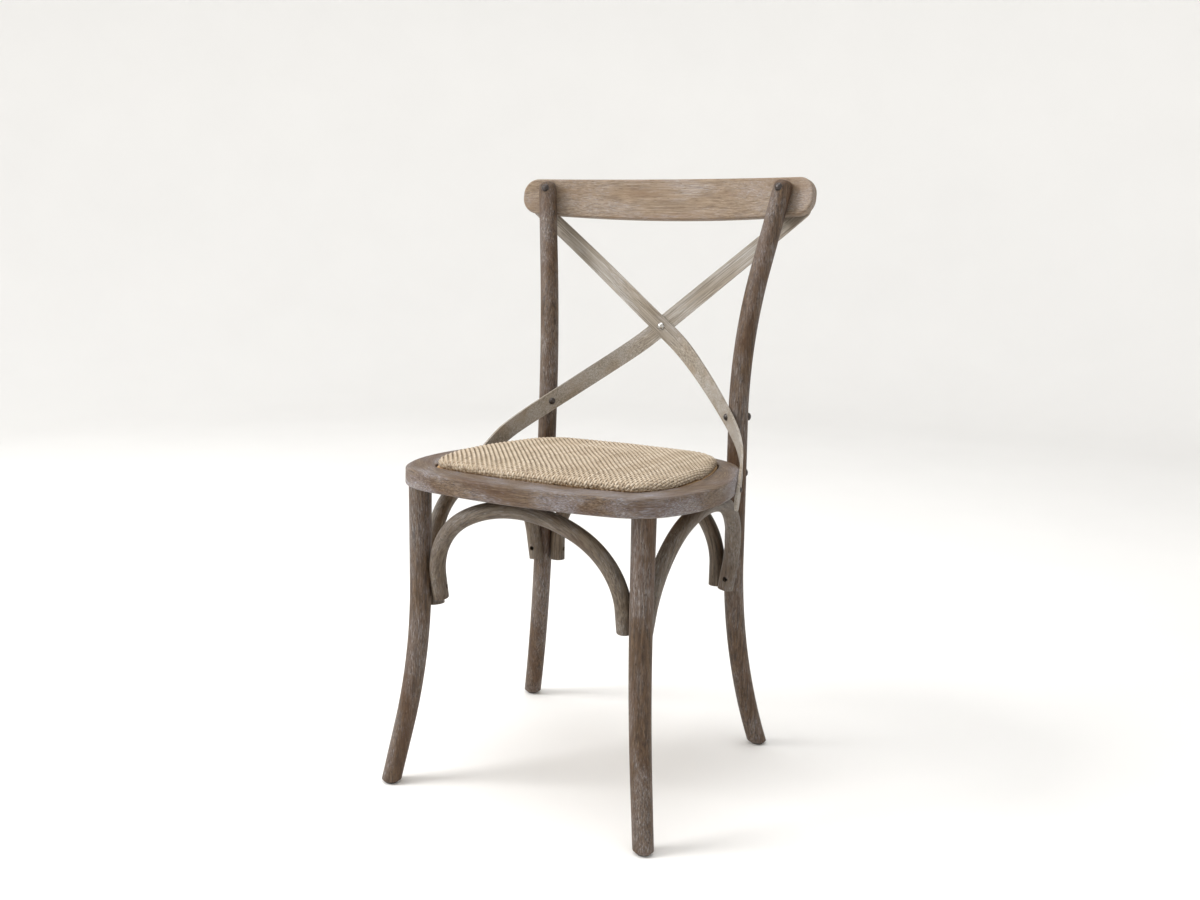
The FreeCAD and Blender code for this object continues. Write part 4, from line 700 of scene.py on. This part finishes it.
@dataclass
class StripField:
    """Paths of rattan strips over the cushion, each over one strip and under the next."""

    nodes: dict
    plane: SeatPlane
    cushion: bpy.types.Object
    spacing: float = 0.0040
    cross_spacing: float = 0.0058
    skin: float = 0.0012
    wave: float = 0.0008
    cross_skin: float = 0.0008
    cross_wave: float = 0.0003
    edge_lift: float = 0.0018
    edge_start: float = 0.90
    half_field: float = 0.190
    farthest_share: float = 1.25
    inner_depth: float = 0.06
    crown: float = 0.010
    base: float = -0.002
    roll: float = 0.008
    skirt: float = 0.013
    levels: tuple = ((0.0, 1.0), (0.16, 1.0), (0.42, 0.965), (0.66, 0.87), (0.84, 0.7),
                     (0.94, 0.5), (0.985, 0.3), (1.0, 0.0))
    seed: int = 7
    bearing: np.ndarray = field(default_factory=lambda: np.zeros(0))
    radius: np.ndarray = field(default_factory=lambda: np.zeros(0))

    def __post_init__(self) -> None:
        """Read the pad's outline in plan, as a radius for each bearing."""
        inverse = np.linalg.inv(np.array(self.plane.matrix))
        points = coordinates(self.nodes["seat_pad"].data)
        local = points @ inverse[:3, :3].T + inverse[:3, 3]
        rim = local[local[:, 2] < local[:, 2].min() + 0.0005]
        bearing = np.arctan2(rim[:, 1], rim[:, 0])
        order = np.argsort(bearing)
        self.bearing = bearing[order]
        self.radius = np.hypot(rim[:, 0], rim[:, 1])[order]
        keep = self.radius > 0.1
        self.bearing, self.radius = self.bearing[keep], self.radius[keep]

    def share(self, x: float, y: float) -> tuple[float, float]:
        """How far out a plan point lies.

        Args:
            x: Across the seat.
            y: Along the seat.

        Returns:
            The share of the outline, 1 on it, and the outline's radius at that bearing.
        """
        reach = float(np.interp(math.atan2(y, x), self.bearing, self.radius,
                                period=2 * math.pi))
        return math.hypot(x, y) / reach, reach

    def on_skin(self, x: float, y: float) -> Vector:
        """The ideal skin over or beside the pad, for a plan point that may lie outside.

        Args:
            x: Across the seat.
            y: Along the seat.

        Returns:
            A point in the seat's own plane frame.
        """
        share, reach = self.share(x, y)
        shoulder = self.base + self.roll
        if share <= 1.0:
            shares, heights = zip(*self.levels)
            return Vector((x, y, shoulder + self.crown * float(np.interp(share, shares,
                                                                         heights))))
        outside = (share - 1.0) * reach
        return Vector((x / share, y / share, shoulder - outside))

    def strips(self, lengthwise: bool) -> bpy.types.Object:
        """Lay all strips that run one way as bare lines with their normals.

        Args:
            lengthwise: True for the strips that run front to back.

        Returns:
            An object whose mesh holds only edges, with tint, run and normal attributes.
        """
        rng = np.random.default_rng(self.seed + int(lengthwise))
        tree = BVHTree.FromObject(self.cushion, bpy.context.evaluated_depsgraph_get())
        matrix = self.plane.matrix
        inside = matrix @ Vector((0.0, 0.0, -self.inner_depth))
        own, other, skin, wave = ((self.spacing, self.cross_spacing, self.skin, self.wave)
                                  if lengthwise else
                                  (self.cross_spacing, self.spacing, self.cross_skin,
                                   self.cross_wave))
        rows, crossings = int(self.half_field / own), int(self.half_field / other)
        verts, edges, normals, tints, runs = [], [], [], [], []
        for row in range(-rows, rows + 1):
            fixed = row * own
            tint = float(rng.random())
            started = False
            for number in range(-2 * crossings - 8, 2 * crossings + 9):
                at = number * other / 2
                x, y = (fixed, at) if lengthwise else (at, fixed)
                share, reach = self.share(x, y)
                if (share - 1.0) * reach > self.skirt or share > self.farthest_share:
                    started = False
                    continue
                target = matrix @ self.on_skin(x, y)
                point, normal, _, _ = tree.find_nearest(target)
                if normal.dot(target - inside) < 0:
                    normal = -normal
                edge = max(0.0, min(1.0, (share - self.edge_start) / (1 - self.edge_start)))
                lift = skin + edge * self.edge_lift + wave * self.over(row, number, lengthwise)
                if started:
                    edges.append((len(verts) - 1, len(verts)))
                verts.append(point + normal * lift)
                normals.append(normal)
                tints.append(tint)
                runs.append(at)
                started = True
        mesh = bpy.data.meshes.new("strip_lines")
        mesh.from_pydata(verts, edges, [])
        add_values(mesh, "strip_normal", "FLOAT_VECTOR", np.array(normals, np.float32))
        add_values(mesh, "strip_tint", "FLOAT", np.array(tints, np.float32))
        add_values(mesh, "strip_run", "FLOAT", np.array(runs, np.float32))
        name = "rattan_strips_lengthwise" if lengthwise else "rattan_strips_across"
        lines = bpy.data.objects.new(name, mesh)
        bpy.context.scene.collection.objects.link(lines)
        return lines

    @staticmethod
    def over(row: int, number: int, lengthwise: bool) -> float:
        """Height of the weave's wave: over one crossing, then under the next.

        Args:
            row: The strip's number.
            number: Half crossings along it.
            lengthwise: True for a strip that runs front to back.

        Returns:
            From -1, under, to 1, over.
        """
        crossing = number / 2
        wave = math.cos((crossing + row) * math.pi)
        return wave if lengthwise else -wave


class StripSweep:
    """Geometry nodes that sweep a flat rattan strip along bare lines."""

    def __init__(self) -> None:
        """Build the node tree with its named inputs."""
        tree = bpy.data.node_groups.new("rattan_strip_sweep", "GeometryNodeTree")
        face = tree.interface
        face.new_socket("Geometry", in_out="INPUT", socket_type="NodeSocketGeometry")
        self.width = face.new_socket("Strip Width", in_out="INPUT",
                                     socket_type="NodeSocketFloat").identifier
        self.thickness = face.new_socket("Strip Thickness", in_out="INPUT",
                                         socket_type="NodeSocketFloat").identifier
        self.finish = face.new_socket("Strip Finish", in_out="INPUT",
                                      socket_type="NodeSocketMaterial").identifier
        face.new_socket("Geometry", in_out="OUTPUT", socket_type="NodeSocketGeometry")
        self.tree = tree
        self.wire()

    def node(self, kind: str, **settings: object) -> bpy.types.Node:
        """Add a node with its settings."""
        node = self.tree.nodes.new(kind)
        for key, value in settings.items():
            setattr(node, key, value)
        return node

    def wire(self) -> None:
        """Lay out the nodes: lines to curves, normals, sweep, smooth, realize, finish."""
        link = self.tree.links.new
        start = self.node("NodeGroupInput")
        end = self.node("NodeGroupOutput")
        curve = self.node("GeometryNodeMeshToCurve")
        turn = self.node("GeometryNodeSetCurveNormal", mode="FREE")
        normal = self.node("GeometryNodeInputNamedAttribute", data_type="FLOAT_VECTOR")
        normal.inputs["Name"].default_value = "strip_normal"
        profile = self.profile(start)
        sweep = self.node("GeometryNodeCurveToMesh")
        sweep.inputs["Fill Caps"].default_value = True
        smooth = self.node("GeometryNodeSetShadeSmooth")
        whole = self.node("GeometryNodeRealizeInstances")
        paint_on = self.node("GeometryNodeSetMaterial")
        link(start.outputs["Geometry"], curve.inputs["Mesh"])
        link(curve.outputs[0], turn.inputs["Curve"])
        link(normal.outputs["Attribute"], turn.inputs["Normal"])
        link(turn.outputs[0], sweep.inputs["Curve"])
        link(profile, sweep.inputs["Profile Curve"])
        link(sweep.outputs[0], smooth.inputs["Geometry"])
        link(smooth.outputs[0], whole.inputs["Geometry"])
        link(whole.outputs[0], paint_on.inputs["Geometry"])
        link(start.outputs["Strip Finish"], paint_on.inputs["Material"])
        link(paint_on.outputs[0], end.inputs[0])

    def profile(self, start: bpy.types.Node) -> bpy.types.NodeSocket:
        """The strip's section: six corners on a flattened round.

        Args:
            start: The group input node.

        Returns:
            A closed curve.
        """
        link = self.tree.links.new
        circle = self.node("GeometryNodeCurvePrimitiveCircle")
        circle.inputs["Resolution"].default_value = 6
        circle.inputs["Radius"].default_value = 0.5
        size = self.node("ShaderNodeCombineXYZ")
        link(start.outputs["Strip Thickness"], size.inputs["X"])
        link(start.outputs["Strip Width"], size.inputs["Y"])
        size.inputs["Z"].default_value = 1.0
        shaped = self.node("GeometryNodeTransform")
        link(circle.outputs[0], shaped.inputs["Geometry"])
        link(size.outputs[0], shaped.inputs["Scale"])
        return shaped.outputs[0]

    def sweep(self, lines: bpy.types.Object, width: float, thickness: float,
              finish: bpy.types.Material) -> bpy.types.Object:
        """Turn bare lines into strips.

        Args:
            lines: The object with the bare lines.
            width: The strip's width.
            thickness: The strip's thickness.
            finish: The strips' material.

        Returns:
            The same object with a plain mesh of strips.
        """
        weave = lines.modifiers.new("strips", "NODES")
        weave.node_group = self.tree
        weave[self.width] = width
        weave[self.thickness] = thickness
        weave[self.finish] = finish
        depsgraph = bpy.context.evaluated_depsgraph_get()
        mesh = bpy.data.meshes.new_from_object(lines.evaluated_get(depsgraph))
        lines.modifiers.clear()
        lines.data = mesh
        return lines


@dataclass
class WovenSeat:
    """The drop-in seat: cushion and the rattan woven over it."""

    nodes: dict
    plane: SeatPlane = field(default_factory=SeatPlane)
    strip_width: float = 0.0035
    cross_width: float = 0.0047
    strip_thickness: float = 0.0009
    fill: float = 0.85

    def build(self) -> None:
        """Make, dress and place both layers in the frame."""
        cushion = SeatCushion(self.nodes, self.plane).build()
        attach(cushion, ONLY_BODY)
        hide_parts("seat_pad")
        LOG.info("seat_cushion: %d faces", len(cushion.data.polygons))
        lay = StripField(self.nodes, self.plane, cushion)
        sweep = StripSweep()
        shaded = RattanFinish("rattan_strips_shaded", pale=paint(174, 155, 130),
                              straw=paint(146, 125, 100), brown=paint(88, 68, 50))
        for lengthwise, width, finish in ((True, self.strip_width, RattanFinish()),
                                          (False, self.cross_width, shaded)):
            piece = sweep.sweep(lay.strips(lengthwise), width, self.strip_thickness,
                                finish.material())
            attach(piece, ONLY_BODY)
            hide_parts("seat_weave")
            LOG.info("%s: %d faces", piece.name, len(piece.data.polygons))


def coordinates(mesh: bpy.types.Mesh) -> np.ndarray:
    """The mesh's points as rows."""
    points = np.zeros(len(mesh.vertices) * 3)
    mesh.vertices.foreach_get("co", points)
    return points.reshape(-1, 3)


def set_coordinates(mesh: bpy.types.Mesh, points: np.ndarray) -> None:
    """Move the mesh's points."""
    mesh.vertices.foreach_set("co", points.ravel())
    mesh.update()


def add_values(mesh: bpy.types.Mesh, name: str, kind: str, values: np.ndarray) -> None:
    """Store a value for each point of a mesh.

    Args:
        mesh: The mesh.
        name: The attribute's name.
        kind: Its data type.
        values: One row for each point.
    """
    attribute = mesh.attributes.new(name, kind, "POINT")
    attribute.data.foreach_set("vector" if kind == "FLOAT_VECTOR" else "value",
                               values.ravel())


# The studio


@dataclass
class Studio:
    """A pale floor that sweeps up into a wall all round, soft lights and the camera."""

    floor_reach: float = 3.4
    sweep_radius: float = 1.4
    wall_height: float = 4.5
    camera_place: Colour = (0.8396, -1.6676, 0.8240)
    camera_turn: float = 31.32
    camera_tilt: float = 10.16
    camera_roll: float = 0.37
    lens: float = 38.396
    shift: tuple[float, float] = (0.0888, -0.0069)
    sensor_width: float = 36.0
    sides: int = 64
    sweep_steps: int = 12
    look_at: Colour = (0.0, 0.0, 0.45)
    lamps: tuple = (("key_light", (-2.3, -1.9, 2.4), 1.5, 100.0),
                    ("top_light", (-0.3, -0.2, 3.4), 2.6, 62.0),
                    ("fill_light", (2.6, -1.6, 1.4), 1.8, 3.0))
    sky: float = 0.58

    def build(self) -> None:
        """Make floor, lights and camera."""
        self.floor()
        self.lights()
        self.camera()
        scene = bpy.context.scene
        scene.view_settings.view_transform = "Standard"
        scene.view_settings.look = "None"
        LOG.info("studio: floor, lights and camera")

    def floor(self) -> None:
        """Turn the floor's profile round the chair."""
        profile = [(0.0, 0.0), (self.floor_reach * 0.5, 0.0), (self.floor_reach, 0.0)]
        for step in range(1, self.sweep_steps + 1):
            angle = math.radians(90 * step / self.sweep_steps)
            profile.append((self.floor_reach + self.sweep_radius * math.sin(angle),
                            self.sweep_radius * (1 - math.cos(angle))))
        profile.append((profile[-1][0], self.wall_height))
        sides = self.sides
        verts = [(0.0, 0.0, 0.0)]
        for radius, height in profile[1:]:
            for side in range(sides):
                angle = 2 * math.pi * side / sides
                verts.append((radius * math.cos(angle), radius * math.sin(angle), height))
        faces = [(0, 1 + side, 1 + (side + 1) % sides) for side in range(sides)]
        for ring in range(len(profile) - 2):
            first, second = 1 + ring * sides, 1 + (ring + 1) * sides
            faces += [(first + side, second + side, second + (side + 1) % sides,
                       first + (side + 1) % sides) for side in range(sides)]
        mesh = bpy.data.meshes.new("studio_floor")
        mesh.from_pydata(verts, [], faces)
        mesh.shade_smooth()
        floor = bpy.data.objects.new("studio_floor", mesh)
        bpy.context.scene.collection.objects.link(floor)
        bench = ShaderBench("studio_white")
        dust = bench.noise(bench.place(), 3.0, 2.0)
        colour = bench.blend(dust, paint(240, 239, 237), paint(244, 243, 241))
        put_on(floor, bench.finish(Base_Color=colour, Roughness=0.9))

    def lights(self) -> None:
        """A big soft light at the upper left, a weak one at the right, and a bright sky."""
        target = Vector(self.look_at)
        for name, place, size, power in self.lamps:
            light = bpy.data.lights.new(name, "AREA")
            light.shape = "DISK"
            light.size = size
            light.energy = power
            lamp = bpy.data.objects.new(name, light)
            lamp.location = place
            lamp.rotation_mode = "QUATERNION"
            lamp.rotation_quaternion = (target - Vector(place)).to_track_quat("-Z", "Y")
            bpy.context.scene.collection.objects.link(lamp)
        world = bpy.data.worlds.new("studio_sky")
        world.use_nodes = True
        back = world.node_tree.nodes["Background"]
        back.inputs["Color"].default_value = (1.0, 1.0, 1.0, 1.0)
        back.inputs["Strength"].default_value = self.sky
        bpy.context.scene.world = world

    def camera(self) -> None:
        """The camera at the place from which the photograph was taken."""
        turn, tilt, roll = (math.radians(a) for a in (self.camera_turn, self.camera_tilt,
                                                      self.camera_roll))
        back = Vector((math.sin(turn) * math.cos(tilt), -math.cos(turn) * math.cos(tilt),
                       math.sin(tilt)))
        right = Vector((math.cos(turn), math.sin(turn), 0.0))
        up = back.cross(right)
        across = right * math.cos(roll) + up * math.sin(roll)
        upright = up * math.cos(roll) - right * math.sin(roll)
        data = bpy.data.cameras.new("camera")
        data.lens = self.lens
        data.sensor_width = self.sensor_width
        data.sensor_fit = "HORIZONTAL"
        data.shift_x, data.shift_y = self.shift
        data.clip_start, data.clip_end = 0.05, 60.0
        camera = bpy.data.objects.new("camera", data)
        camera.matrix_world = Matrix((
            (across.x, upright.x, back.x, self.camera_place[0]),
            (across.y, upright.y, back.y, self.camera_place[1]),
            (across.z, upright.z, back.z, self.camera_place[2]),
            (0.0, 0.0, 0.0, 1.0)))
        bpy.context.scene.collection.objects.link(camera)
        bpy.context.scene.camera = camera


def main() -> None:
    """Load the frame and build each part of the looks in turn."""
    logging.basicConfig(level=logging.INFO, format="%(name)s: %(message)s")
    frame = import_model()
    nodes = frame["nodes"]
    WoodenFrame(nodes).dress()
    Fixings(nodes).dress()
    WovenSeat(nodes).build()
    Studio().build()
    LOG.info("sizes written")


if __name__ == "__main__":
    main()
